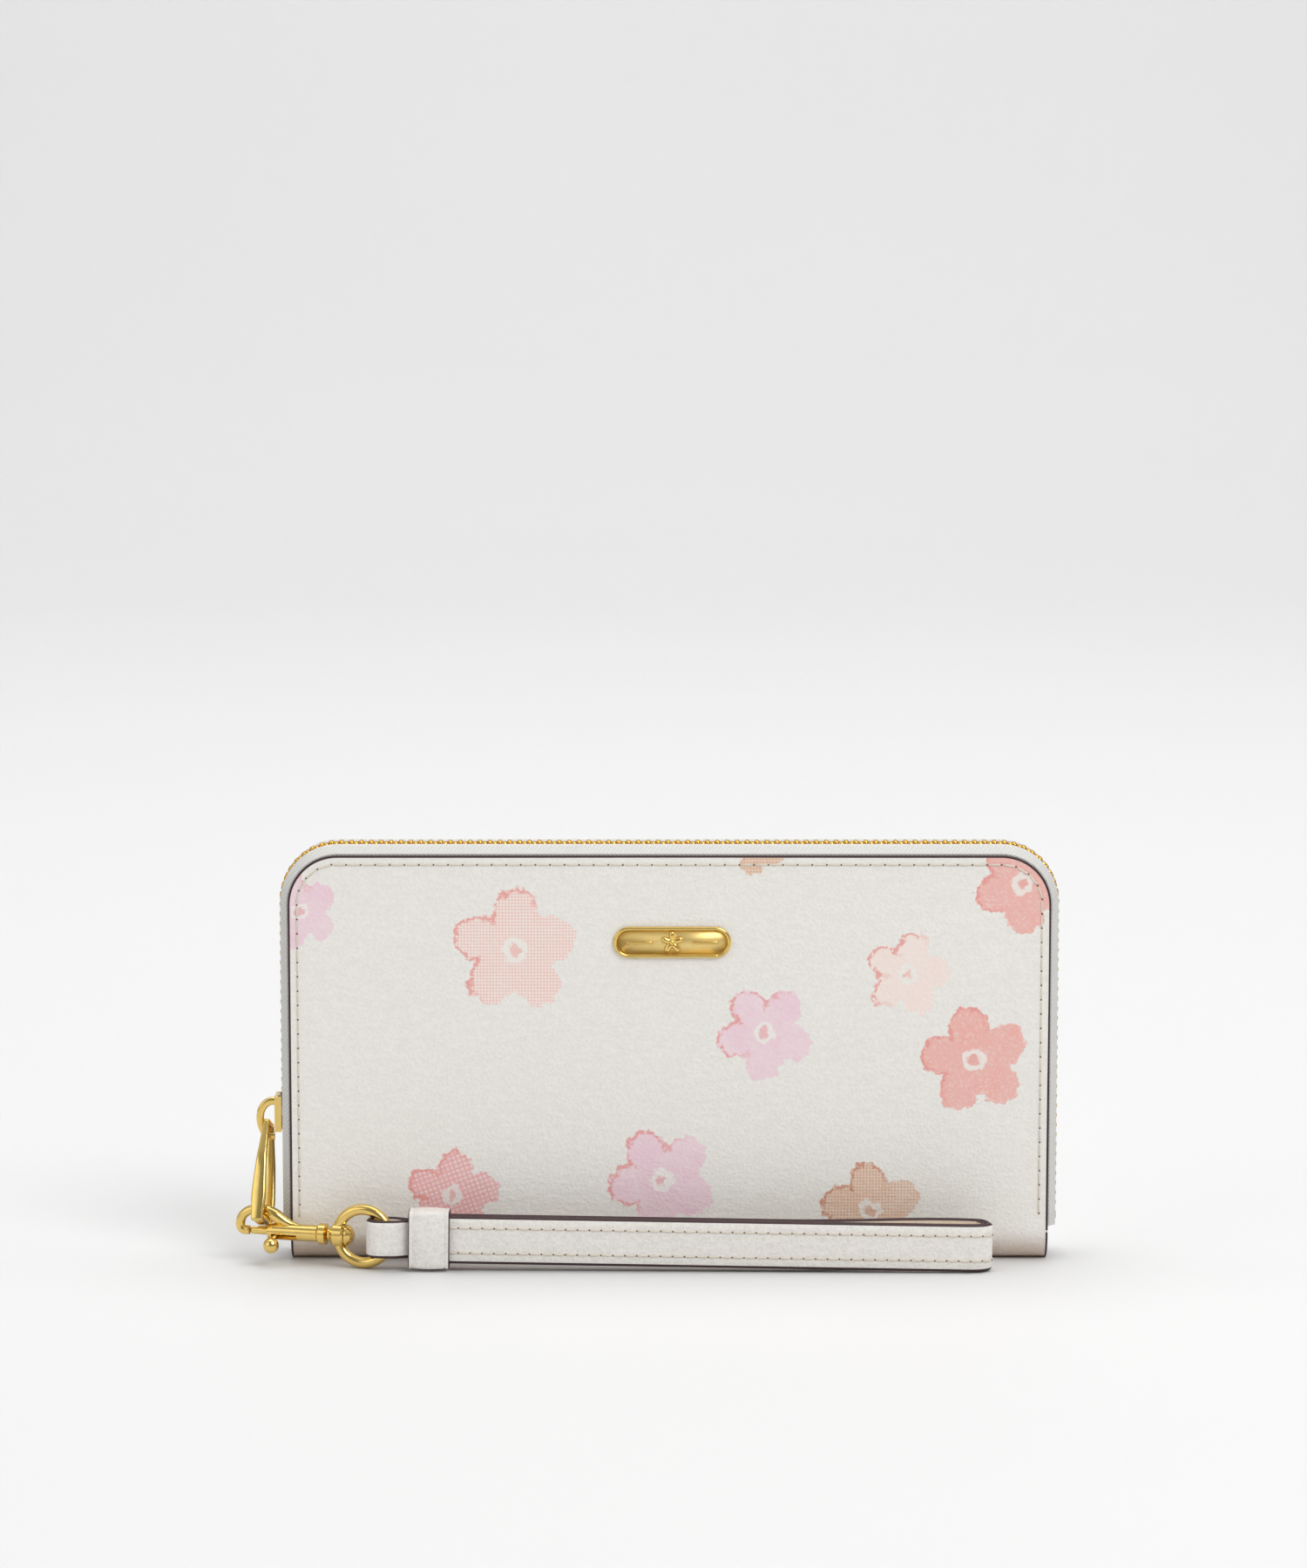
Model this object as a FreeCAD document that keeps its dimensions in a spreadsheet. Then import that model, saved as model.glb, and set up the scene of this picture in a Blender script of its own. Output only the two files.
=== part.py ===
import FreeCAD, Part
import os
import Sketcher

# A wristlet wallet: a zip-around canvas wallet with a coin pocket inside and a leather wrist strap
# on a bolt snap. +Z is up, +X runs along the wallet, -Y is the front; lengths are in millimetres.
# The origin is the middle of the flat strip that the wallet stands on.

SIZES = {
    "panel_width": 192, "panel_height": 104, "corner_radius": 12.5, "half_depth": 9.5,
    "base_radius": 7.5, "canvas": 1.0, "board": 0.8, "lining": 0.6, "slot_sheet": 0.5,
    "board_margin": 8, "lining_margin": 1.2, "lining_bottom": 8,
    "slot_width": 176, "slot_bottom": 13, "slot_low_top": 56, "slot_mid_top": 70, "slot_high_top": 84,
    "tape": 0.8, "tape_sewn": 6, "tape_reach": 2.1, "tape_bend": 6.4, "zip_bottom": 9,
    "tooth_row": 2.5, "tooth_gap": 0.1, "tooth_thick": 1.6, "tooth_reach": 2.5,
    "tooth_left_end": 42.5, "tooth_right_end": 12,
    "slider_height": 36.9, "slider_length": 9, "slider_width": 8.4, "slider_plate": 1.1,
    "slider_out": 4.2, "slider_in": -0.6, "slider_slot_low": 0.9, "slider_slot_high": 2.5,
    "slider_lip": 0.8, "wedge_width": 2.2, "wedge_length": 3.6,
    "bridge_reach": 5.0, "bridge_length": 11.4, "bridge_thick": 1.4, "bridge_low": 3.1,
    "window_reach": 3.1, "window_low": 2.7, "window_length": 5.6,
    "pull_tilt": 24, "pull_lean": 3.4, "pull_turn": 10, "pull_length": 25.5, "pull_shoulder": 9,
    "pull_top": 6.2, "pull_bottom": 11.4, "pull_bar": 1.3, "pull_end_bar": 2.1, "pull_thick": 1.6,
    "pull_axis_out": 5.9, "pull_axis_height": 33.8,
    "hook_yaw": 15.2, "hook_x": -103.1, "hook_y": -11.0, "hook_height": 8.3,
    "bow_thick": 2.4, "barrel_radius": 2.1, "barrel_start": 1.8, "barrel_end": 18.1,
    "collar_radius": 2.7, "collar_start": 15.3, "bore_radius": 1.15, "bore_end": 15.6,
    "bolt_radius": 1.0, "bolt_tip": -3.1, "bolt_end": 9, "bolt_travel": 5, "knob_radius": 2.0,
    "knob_reach": 3.3, "knob_at": 3.7, "knob_roll": 32, "stem_radius": 0.6, "slot_half": 0.75,
    "spring_radius": 0.75, "spring_wire": 0.22, "spring_turns": 9,
    "rivet_radius": 1.1, "rivet_head": 2.7, "rivet_head_start": 22.3, "rivet_head_end": 24.2,
    "ring_centre": 26.8, "ring_radius": 6.85, "ring_wire": 1.4, "boss_radius": 3.0,
    "boss_start": 18.6, "boss_end": 22.1, "boss_bore": 1.3,
    "strap_yaw": 1.0, "strap_drop": 0.75, "strap_width": 12, "strap_leather": 1.35,
    "strap_inner": 1.05, "strap_start": 7, "strap_length": 152, "loop_gap": 5.0, "loop_start": 106,
    "loop_wide": 132, "tab_width": 9.8, "tab_leather": 1.6, "tab_play": 0.7, "tab_reach": 2.1,
    "keeper_start": 4.9, "keeper_length": 10.4, "keeper_width": 14.4, "keeper_leather": 1.4,
    "emblem_length": 29.6, "emblem_height": 8.2, "emblem_thick": 0.9, "emblem_rim": 0.9,
    "emblem_x": 0.7, "emblem_z": 82.1, "rosette_radius": 1.0, "rosette_offset": 1.35,
    "gusset_sheet": 0.5, "gusset_outer": 93.5, "gusset_fold": 84, "gusset_bottom": 8, "gusset_top": 98,
    "divider_half": 0.7, "divider_sheet": 0.6, "divider_width": 160, "divider_bottom": 9,
    "divider_top": 92, "coin_zip_height": 82, "coin_tape": 4.6, "coin_tooth": 1.5,
    "coin_zip_length": 150, "coin_slider_x": -66, "coin_slider_length": 7,
}

DOC = FreeCAD.newDocument("wristlet_wallet")
SHEET = DOC.addObject("Spreadsheet::Sheet", "sizes")
V = FreeCAD.Vector
BODIES = []


class Size:
    """A length that carries its spreadsheet expression, so what is drawn from it stays bound to it."""

    def __init__(self, text, value):
        self.text = text
        self.value = value

    def joined(self, sign, other, value):
        return Size("(%s %s %s)" % (self.text, sign, other.text), value)

    def __add__(self, other):
        other = sized(other)
        return self.joined("+", other, self.value + other.value)

    def __sub__(self, other):
        other = sized(other)
        return self.joined("-", other, self.value - other.value)

    def __mul__(self, other):
        other = sized(other)
        return self.joined("*", other, self.value * other.value)

    def __truediv__(self, other):
        other = sized(other)
        return self.joined("/", other, self.value / other.value)

    def __neg__(self):
        return Size("(0 - %s)" % self.text, -self.value)

    def __radd__(self, other):
        return sized(other) + self

    def __rsub__(self, other):
        return sized(other) - self

    def __rmul__(self, other):
        return sized(other) * self


def sized(number):
    """The number as a Size; a Size is given back as it is."""
    return number if isinstance(number, Size) else Size("%.6g" % number, float(number))


class Sizes:
    """The driving sizes by name."""


def fill_sheet():
    """Put every driving size in the spreadsheet and give back its bound names."""
    sizes = Sizes()
    for row, (name, number) in enumerate(SIZES.items(), 1):
        SHEET.set("A%d" % row, name)
        SHEET.set("B%d" % row, str(number))
        SHEET.setAlias("B%d" % row, name)
        setattr(sizes, name, Size("sizes." + name, float(number)))
    DOC.recompute()
    return sizes


S = fill_sheet()


def new_body(name):
    """A sub-part's body, labelled with its name."""
    body = DOC.addObject("PartDesign::Body", name)
    body.Label = name
    BODIES.append(body)
    return body


def place(body, x=0, y=0, z=0, angle=0, axis=(0, 0, 1)):
    """Bind the body's position, and its turn about one axis in degrees."""
    x, y, z, angle = sized(x), sized(y), sized(z), sized(angle)
    body.Placement = FreeCAD.Placement(V(x.value, y.value, z.value), FreeCAD.Rotation(V(*axis), angle.value))
    for path, size in (("Base.x", x), ("Base.y", y), ("Base.z", z)):
        body.setExpression("Placement." + path, size.text)
    if angle.value:
        body.setExpression("Placement.Rotation.Angle", angle.text)


def new_sketch(body, role, level=0):
    """A sketch on one of the body's own planes, lifted along the plane's normal by level."""
    origin_plane = next(part for part in body.Origin.OriginFeatures if part.Role == role)
    sketch = body.newObject("Sketcher::SketchObject", body.Name + "_sketch")
    sketch.AttachmentSupport = [(origin_plane, "")]
    sketch.MapMode = "FlatFace"
    if sized(level).value:
        sketch.setExpression("AttachmentOffset.Base.z", sized(level).text)
    return sketch


def dimension(sketch, kind, *target):
    """A driving dimension whose last argument is a Size."""
    number = sketch.addConstraint(Sketcher.Constraint(kind, *target[:-1], target[-1].value))
    sketch.setExpression("Constraints[%d]" % number, target[-1].text)


def fix_point(sketch, geometry, end, x, y):
    """Hold a point of the sketch at x, y."""
    dimension(sketch, "DistanceX", -1, 1, geometry, end, sized(x))
    dimension(sketch, "DistanceY", -1, 1, geometry, end, sized(y))


def draw_polygon(sketch, points):
    """A closed outline with every corner held by the sheet."""
    points = [(sized(x), sized(y)) for x, y in points]
    first = sketch.GeometryCount
    count = len(points)
    for index in range(count):
        start, end = points[index], points[(index + 1) % count]
        line = Part.LineSegment(V(start[0].value, start[1].value, 0), V(end[0].value, end[1].value, 0))
        sketch.addGeometry(line, False)
    for index in range(count):
        follower = first + (index + 1) % count
        sketch.addConstraint(Sketcher.Constraint("Coincident", first + index, 2, follower, 1))
    for index, (x, y) in enumerate(points):
        fix_point(sketch, first + index, 1, x, y)


def draw_circle(sketch, x, y, radius):
    """A circle with its centre and radius held by the sheet."""
    x, y, radius = sized(x), sized(y), sized(radius)
    index = sketch.addGeometry(Part.Circle(V(x.value, y.value, 0), V(0, 0, 1), radius.value), False)
    dimension(sketch, "Radius", index, radius)
    fix_point(sketch, index, 3, x, y)


def box_points(x_low, y_low, x_high, y_high):
    """The corners of a rectangle."""
    return [(x_low, y_low), (x_high, y_low), (x_high, y_high), (x_low, y_high)]


def extrude(body, sketch, length, cut=False):
    """Pad or pocket the sketch by length, half to each side."""
    kind = "PartDesign::Pocket" if cut else "PartDesign::Pad"
    before = body.Shape.Volume if cut else 0
    feature = body.newObject(kind, body.Name + ("_cut" if cut else "_pad"))
    feature.Profile = sketch
    feature.SideType = "Symmetric"
    feature.setExpression("Length", sized(length).text)
    DOC.recompute()
    if cut and body.Shape.Volume >= before:
        raise RuntimeError("nothing was cut from " + body.Label)


def turn(body, sketch, axis, cut=False):
    """Turn the sketch round one of its own axes, adding or cutting."""
    kind = "PartDesign::Groove" if cut else "PartDesign::Revolution"
    before = body.Shape.Volume if cut else 0
    feature = body.newObject(kind, body.Name + ("_groove" if cut else "_turned"))
    feature.Profile = sketch
    feature.ReferenceAxis = (sketch, [axis])
    feature.Angle = 360
    DOC.recompute()
    if cut and body.Shape.Volume >= before:
        raise RuntimeError("nothing was turned out of " + body.Label)


def round_edges(body, radius, wanted):
    """Fillet the edges that wanted(middle, spans) picks, where spans are the edge's box lengths."""
    shape = body.Shape
    names = []
    for number, edge in enumerate(shape.Edges, 1):
        box = edge.BoundBox
        if wanted(box.Center, (box.XLength, box.YLength, box.ZLength)):
            names.append("Edge%d" % number)
    if not names:
        raise RuntimeError("no edge to round on " + body.Label)
    last = body.Tip
    fillet = body.newObject("PartDesign::Fillet", body.Name + "_fillet")
    fillet.Base = (last, names)
    fillet.setExpression("Radius", sized(radius).text)
    DOC.recompute()
    if "Invalid" in fillet.State:
        raise RuntimeError("the rounding failed on " + body.Label)


def along(axis, spans):
    """True when an edge runs along one axis only."""
    return all(span < 1e-4 for number, span in enumerate(spans) if number != axis) and spans[axis] > 1e-4


def round_top_corners(body, radius):
    """Round the two upper corners of an upright plate."""
    top = body.Shape.BoundBox.ZMax
    round_edges(body, radius, lambda middle, spans: along(1, spans) and abs(middle.z - top) < 1e-4)


def on_side(sign, size):
    """The size on the front (-1) or back (+1) side of the middle plane."""
    return sized(size) if sign > 0 else -sized(size)


def cover_sheet(name, sign, y_outer, thick, x_half, z_low, z_high, corner):
    """A flat layer of a cover whose outer face is y_outer from the middle plane."""
    middle = on_side(sign, sized(y_outer) - sized(thick) / 2)
    body = new_body(name)
    sketch = new_sketch(body, "XZ_Plane")
    draw_polygon(sketch, box_points(-x_half, z_low, x_half, z_high))
    extrude(body, sketch, thick)
    if corner is not None:
        round_top_corners(body, corner)
    place(body, y=middle)
    return body


FOOT_HALF = S.half_depth - S.base_radius
SEAM = -(FOOT_HALF / 2)
LAYER_BOARD = S.half_depth - S.canvas
LAYER_LINING = LAYER_BOARD - S.board
LAYER_SLOTS = LAYER_LINING - S.lining


def canvas_profile(sign, y_end):
    """The L of a canvas panel: up the face and across the base to y_end."""
    outer = on_side(sign, S.half_depth)
    inner = on_side(sign, S.half_depth - S.canvas)
    return [(outer, S.panel_height), (outer, 0), (y_end, 0), (y_end, S.canvas), (inner, S.canvas),
            (inner, S.panel_height)]


def round_base(body, sign):
    """Round the base of a canvas panel inside and outside."""
    y_outer = sign * S.half_depth.value
    y_inner = sign * (S.half_depth - S.canvas).value
    depth = S.canvas.value
    round_edges(body, S.base_radius - S.canvas,
                lambda middle, spans: along(0, spans) and abs(middle.y - y_inner) < 1e-4
                and abs(middle.z - depth) < 1e-4)
    round_edges(body, S.base_radius,
                lambda middle, spans: along(0, spans) and abs(middle.y - y_outer) < 1e-4
                and abs(middle.z) < 1e-4)


def hinge_cut(body, keep_upper):
    """Cut the base's rear curve off at the hinge line, keeping what is above or below it."""
    reach = 30
    sketch = new_sketch(body, "YZ_Plane")
    low = (FOOT_HALF + reach, S.base_radius - reach)
    if keep_upper:
        points = [(FOOT_HALF, S.base_radius), (-reach, S.base_radius), (-reach, S.base_radius - reach), low]
    else:
        points = [(FOOT_HALF, S.base_radius), low, (FOOT_HALF + reach, 2 * S.panel_height),
                  (FOOT_HALF, 2 * S.panel_height)]
    draw_polygon(sketch, points)
    extrude(body, sketch, 2 * S.panel_width, cut=True)


def front_panel():
    """The front's printed canvas, round the base as far as the flat strip."""
    body = new_body("front_panel")
    sketch = new_sketch(body, "YZ_Plane")
    draw_polygon(sketch, canvas_profile(-1, SEAM))
    extrude(body, sketch, S.panel_width)
    round_base(body, -1)
    round_top_corners(body, S.corner_radius)
    place(body)


def spine_panel():
    """The canvas under the wallet, from the flat strip to the back hinge line."""
    body = new_body("spine_panel")
    sketch = new_sketch(body, "YZ_Plane")
    draw_polygon(sketch, canvas_profile(1, SEAM))
    extrude(body, sketch, S.panel_width)
    round_base(body, 1)
    hinge_cut(body, keep_upper=False)
    place(body)


def back_panel():
    """The back's printed canvas, from the hinge line up."""
    body = new_body("back_panel")
    sketch = new_sketch(body, "YZ_Plane")
    draw_polygon(sketch, canvas_profile(1, 0))
    extrude(body, sketch, S.panel_width)
    round_base(body, 1)
    hinge_cut(body, keep_upper=True)
    round_top_corners(body, S.corner_radius)
    place(body)


def spine_lining():
    """The lining laid along the inside of the base."""
    body = new_body("spine_lining")
    sketch = new_sketch(body, "YZ_Plane")
    draw_polygon(sketch, box_points(-FOOT_HALF, S.canvas, FOOT_HALF, S.canvas + S.lining))
    extrude(body, sketch, S.panel_width - 2 * S.lining_margin)
    place(body)


def cover_layers(side, sign):
    """The board, the lining and three card-slot sheets of one cover."""
    half = S.panel_width / 2
    cover_sheet(side + "_stiffener", sign, LAYER_BOARD, S.board, half - S.board_margin, S.base_radius + 2,
                S.panel_height - S.board_margin, S.corner_radius - 6)
    cover_sheet(side + "_lining", sign, LAYER_LINING, S.lining, half - S.lining_margin, S.lining_bottom,
                S.panel_height - S.lining_margin, S.corner_radius - S.lining_margin)
    for number, (level, top) in enumerate((("upper", S.slot_high_top), ("middle", S.slot_mid_top),
                                           ("lower", S.slot_low_top))):
        cover_sheet("%s_card_slot_%s" % (side, level), sign, LAYER_SLOTS - number * S.slot_sheet,
                    S.slot_sheet, S.slot_width / 2, S.slot_bottom, top, sized(3))


def rim_path(body, z_low_left, z_low_right):
    """The line of the cover's edge: up the left, across the top and down the right."""
    sketch = new_sketch(body, "XZ_Plane")
    half = S.panel_width / 2
    side, top, bend = half.value, S.panel_height.value, S.corner_radius.value
    quarter = 1.5707963267948966
    left, right = sized(z_low_left), sized(z_low_right)
    sketch.addGeometry(Part.LineSegment(V(-side, left.value, 0), V(-side, top - bend, 0)))
    sketch.addGeometry(Part.ArcOfCircle(Part.Circle(V(bend - side, top - bend, 0), V(0, 0, 1), bend),
                                        quarter, 2 * quarter))
    sketch.addGeometry(Part.LineSegment(V(bend - side, top, 0), V(side - bend, top, 0)))
    sketch.addGeometry(Part.ArcOfCircle(Part.Circle(V(side - bend, top - bend, 0), V(0, 0, 1), bend),
                                        0, quarter))
    sketch.addGeometry(Part.LineSegment(V(side, top - bend, 0), V(side, right.value, 0)))
    for joined in ((0, 2, 1, 2), (1, 1, 2, 1), (2, 2, 3, 2), (3, 1, 4, 1)):
        sketch.addConstraint(Sketcher.Constraint("Tangent", *joined))
    sketch.addConstraint(Sketcher.Constraint("Vertical", 0))
    sketch.addConstraint(Sketcher.Constraint("Horizontal", 2))
    sketch.addConstraint(Sketcher.Constraint("Vertical", 4))
    fix_point(sketch, 0, 1, -half, left)
    fix_point(sketch, 4, 2, half, right)
    dimension(sketch, "DistanceY", -1, 1, 2, 1, S.panel_height)
    dimension(sketch, "Radius", 1, S.corner_radius)
    dimension(sketch, "Radius", 3, S.corner_radius)
    return sketch


def rim_sweep(name, section, z_low_left, z_low_right):
    """Sweep a section, given as (out from the edge, y) pairs, round the cover's edge."""
    body = new_body(name)
    path = rim_path(body, z_low_left, z_low_right)
    sketch = new_sketch(body, "XY_Plane", z_low_left)
    draw_polygon(sketch, [(-(S.panel_width / 2) - out, y) for out, y in section])
    pipe = body.newObject("PartDesign::AdditivePipe", name + "_pipe")
    pipe.Profile = sketch
    pipe.Spine = (path, ["Edge%d" % number for number in range(1, 6)])
    DOC.recompute()
    place(body)


def zip_side(side, sign):
    """The tape and the row of teeth sewn round one cover."""
    def y_at(size):
        return on_side(sign, size)
    inner = S.tape_reach - S.tape
    row_end = S.tooth_gap + S.tooth_row
    tape = [(-S.tape_sewn, y_at(LAYER_BOARD)), (0.4, y_at(LAYER_BOARD)), (S.tape_reach, y_at(S.tape_bend)),
            (S.tape_reach, y_at(row_end)), (inner, y_at(row_end)), (inner, y_at(S.tape_bend - 0.3)),
            (0, y_at(LAYER_LINING)), (-S.tape_sewn, y_at(LAYER_LINING))]
    rim_sweep("zip_tape_" + side, tape, S.zip_bottom, S.zip_bottom)
    low = S.tooth_reach - S.tooth_thick
    teeth = [(low, y_at(S.tooth_gap)), (S.tooth_reach, y_at(S.tooth_gap)), (S.tooth_reach, y_at(row_end)),
             (low, y_at(row_end))]
    rim_sweep("zip_teeth_" + side, teeth, S.tooth_left_end, S.tooth_right_end)


def end_stop():
    """The metal stop that closes the chain at its right end."""
    body = new_body("zip_end_stop")
    sketch = new_sketch(body, "YZ_Plane")
    row_end = S.tooth_gap + S.tooth_row
    draw_polygon(sketch, box_points(-row_end, 0, -S.tooth_gap, 2.4))
    extrude(body, sketch, S.tooth_thick)
    round_edges(body, 0.5, lambda middle, spans: along(1, spans))
    place(body, x=S.panel_width / 2 + S.tooth_reach - S.tooth_thick / 2, z=S.tooth_right_end - 2.4)


def gusset(name, sign):
    """One accordion end wall, folded in plan between the two linings."""
    body = new_body(name)
    sketch = new_sketch(body, "XY_Plane", (S.gusset_bottom + S.gusset_top) / 2)
    face = LAYER_SLOTS
    sheet = S.gusset_sheet
    edge = S.divider_width / 2 + sheet * 2
    folds = [(S.gusset_outer, -face), (S.gusset_outer - 2.5, -face + 1.8), (S.gusset_fold, -face + 2.8),
             (S.gusset_outer - 1.5, -face + 4.2), (edge, -1.45), (edge, 1.45),
             (S.gusset_outer - 1.5, face - 4.2), (S.gusset_fold, face - 2.8),
             (S.gusset_outer - 2.5, face - 1.8), (S.gusset_outer, face)]
    inside = [(on_side(sign, out - sheet * 2), y) for out, y in folds]
    outside = [(on_side(sign, out + sheet * 2), y) for out, y in reversed(folds)]
    draw_polygon(sketch, inside + outside)
    extrude(body, sketch, S.gusset_top - S.gusset_bottom)
    place(body)


def emblem():
    """A plain raised plate with a rim and a five-petal rosette on the front."""
    body = new_body("emblem_plate")
    sketch = new_sketch(body, "XZ_Plane")
    draw_polygon(sketch, box_points(-(S.emblem_length / 2), -(S.emblem_height / 2), S.emblem_length / 2,
                                    S.emblem_height / 2))
    extrude(body, sketch, S.emblem_thick)
    round_edges(body, S.emblem_height / 2 - 0.05, lambda middle, spans: along(1, spans))
    front = -(S.emblem_thick.value / 2)
    recess = new_sketch(body, "XZ_Plane", S.emblem_thick / 2)
    half_x = S.emblem_length / 2 - S.emblem_height / 2
    inner = S.emblem_height / 2 - S.emblem_rim
    draw_polygon(recess, box_points(-half_x, -inner, half_x, inner))
    extrude(body, recess, S.emblem_thick * 0.7, cut=True)
    round_edges(body, 0.25, lambda middle, spans: abs(middle.y - front) < 1e-4 and spans[1] < 1e-4)
    place(body, x=S.emblem_x, y=-S.half_depth - S.emblem_thick / 2, z=S.emblem_z)
    rosette = new_body("emblem_rosette")
    for petal in ((0, 1.0), (0.951, 0.309), (0.588, -0.809), (-0.588, -0.809), (-0.951, 0.309)):
        sketch = new_sketch(rosette, "XZ_Plane")
        draw_circle(sketch, petal[0] * S.rosette_offset, petal[1] * S.rosette_offset, S.rosette_radius)
        extrude(rosette, sketch, 0.6)
    place(rosette, x=S.emblem_x, y=-S.half_depth - S.emblem_thick * 0.65 - 0.3, z=S.emblem_z)


def divider_sheets():
    """The coin pocket's two walls and the binding along its top."""
    half, wall = S.divider_width / 2, S.divider_sheet
    zip_low = S.coin_zip_height - S.coin_tape
    outer = S.divider_half + wall
    cover_sheet("coin_pocket_front", -1, outer, wall, half, S.divider_bottom, zip_low, None)
    cover_sheet("coin_pocket_back", 1, outer, wall, half, S.divider_bottom, S.divider_top, sized(4))
    cover_sheet("coin_pocket_top_band", -1, outer, wall, half, S.coin_zip_height + S.coin_tape,
                S.divider_top, sized(4))
    body = new_body("coin_pocket_base")
    sketch = new_sketch(body, "XZ_Plane")
    draw_polygon(sketch, box_points(-half, S.divider_bottom, half, S.divider_bottom + 3))
    extrude(body, sketch, 2 * S.divider_half)
    place(body)
    top = new_body("coin_pocket_piping")
    sketch = new_sketch(top, "XZ_Plane")
    draw_polygon(sketch, box_points(-half + 4, S.divider_top - 3, half - 4, S.divider_top))
    extrude(top, sketch, 2 * S.divider_half)
    place(top)


def coin_zip():
    """The coin pocket's zip: two tapes, two rows of teeth, a slider and its tab."""
    half = S.divider_width / 2
    outer = S.divider_half + S.divider_sheet
    centre = S.coin_zip_height
    row = S.coin_tooth
    for level, sign in (("lower", -1), ("upper", 1)):
        near, far = centre + sign * (row + 0.1), centre + sign * S.coin_tape
        low, high = (far, near) if sign < 0 else (near, far)
        cover_sheet("coin_zip_tape_" + level, -1, outer, S.divider_sheet, half, low, high, None)
        near, far = centre + sign * 0.1, centre + sign * (row + 0.1)
        low, high = (far, near) if sign < 0 else (near, far)
        body = new_body("coin_zip_teeth_" + level)
        sketch = new_sketch(body, "XZ_Plane")
        start = S.coin_slider_x + S.coin_slider_length / 2 + 0.4
        draw_polygon(sketch, box_points(start, low, S.coin_zip_length / 2, high))
        extrude(body, sketch, 1.2)
        place(body, y=-outer + 0.3)
    slider = new_body("coin_zip_slider")
    length, width = S.coin_slider_length, 2 * row + 2.6
    for y_low, y_high in ((-2.9, -2.0), (-0.3, 0.3)):
        sketch = new_sketch(slider, "XZ_Plane", -(y_low + y_high) / 2)
        draw_polygon(sketch, box_points(-(length / 2), -(width / 2), length / 2, width / 2))
        extrude(slider, sketch, y_high - y_low)
        if y_low < -2:
            wedge = new_sketch(slider, "XZ_Plane", 1.3)
            draw_polygon(wedge, box_points(-(length / 2), -0.6, -(length / 2) + 2.2, 0.6))
            extrude(slider, wedge, 2.2)
    place(slider, x=S.coin_slider_x, z=centre)
    tab = new_body("coin_zip_tab")
    sketch = new_sketch(tab, "XZ_Plane")
    draw_polygon(sketch, box_points(0, -1.5, 10, 1.5))
    extrude(tab, sketch, 0.9)
    round_edges(tab, 1.2, lambda middle, spans: along(1, spans))
    place(tab, x=S.coin_slider_x - 2, y=-3.35, z=centre)


def slider_body():
    """The zip slider: an outer and an inner plate with lips round the teeth, and a wedge between."""
    body = new_body("zip_slider_body")
    half_w, half_l = S.slider_width / 2, S.slider_length / 2
    plate = S.slider_plate
    sketch = new_sketch(body, "XY_Plane")
    outer = [(-S.slider_out, -half_w), (-S.slider_slot_high, -half_w),
             (-S.slider_slot_high, -half_w + S.slider_lip), (plate - S.slider_out, -half_w + S.slider_lip),
             (plate - S.slider_out, half_w - S.slider_lip), (-S.slider_slot_high, half_w - S.slider_lip),
             (-S.slider_slot_high, half_w), (-S.slider_out, half_w)]
    draw_polygon(sketch, outer)
    extrude(body, sketch, S.slider_length)
    wedge = new_sketch(body, "XY_Plane", -half_l + S.wedge_length / 2)
    draw_polygon(wedge, box_points(plate - S.slider_out - 0.1, -(S.wedge_width / 2),
                                   -S.slider_in - plate + 0.1, S.wedge_width / 2))
    extrude(body, wedge, S.wedge_length)
    inner = new_sketch(body, "XY_Plane")
    lower = [(-S.slider_in, -half_w), (-S.slider_slot_low, -half_w),
             (-S.slider_slot_low, -half_w + S.slider_lip), (-S.slider_in - plate, -half_w + S.slider_lip),
             (-S.slider_in - plate, half_w - S.slider_lip), (-S.slider_slot_low, half_w - S.slider_lip),
             (-S.slider_slot_low, half_w), (-S.slider_in, half_w)]
    draw_polygon(inner, lower)
    extrude(body, inner, S.slider_length)
    place(body, x=-(S.panel_width / 2), z=S.slider_height)


def slider_bridge():
    """The D-shaped loop on the slider that carries the pull."""
    body = new_body("zip_slider_bridge")
    sketch = new_sketch(body, "XZ_Plane")
    base, reach, rise = -S.slider_out, S.bridge_reach, S.bridge_length
    outline = ((0, 1), (0.34, 0.99), (0.66, 0.91), (0.89, 0.78), (1, 0.61), (0.96, 0.4), (0.83, 0.21),
               (0.62, 0.04), (0.43, 0), (0, 0.14))
    draw_polygon(sketch, [(base - reach * out, rise * up) for out, up in outline])
    extrude(body, sketch, S.bridge_thick)
    window = new_sketch(body, "XZ_Plane")
    reach, rise = S.window_reach, S.window_length
    outline = ((-0.04, 0), (0.7, 0), (0.94, 0.13), (1, 0.28), (0.98, 0.5), (0.82, 0.74), (0.49, 0.93),
               (0.12, 1), (-0.04, 1))
    draw_polygon(window, [(base - reach * out, S.window_low + rise * up) for out, up in outline])
    extrude(body, window, 2 * S.bridge_thick, cut=True)
    edge = S.bridge_thick.value / 2
    round_edges(body, 0.25, lambda middle, spans: spans[1] < 1e-4 and middle.x < base.value - 0.3
                and abs(abs(middle.y) - edge) < 1e-4)
    place(body, x=-(S.panel_width / 2), z=S.slider_height - S.slider_length / 2 - S.bridge_low)


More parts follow.
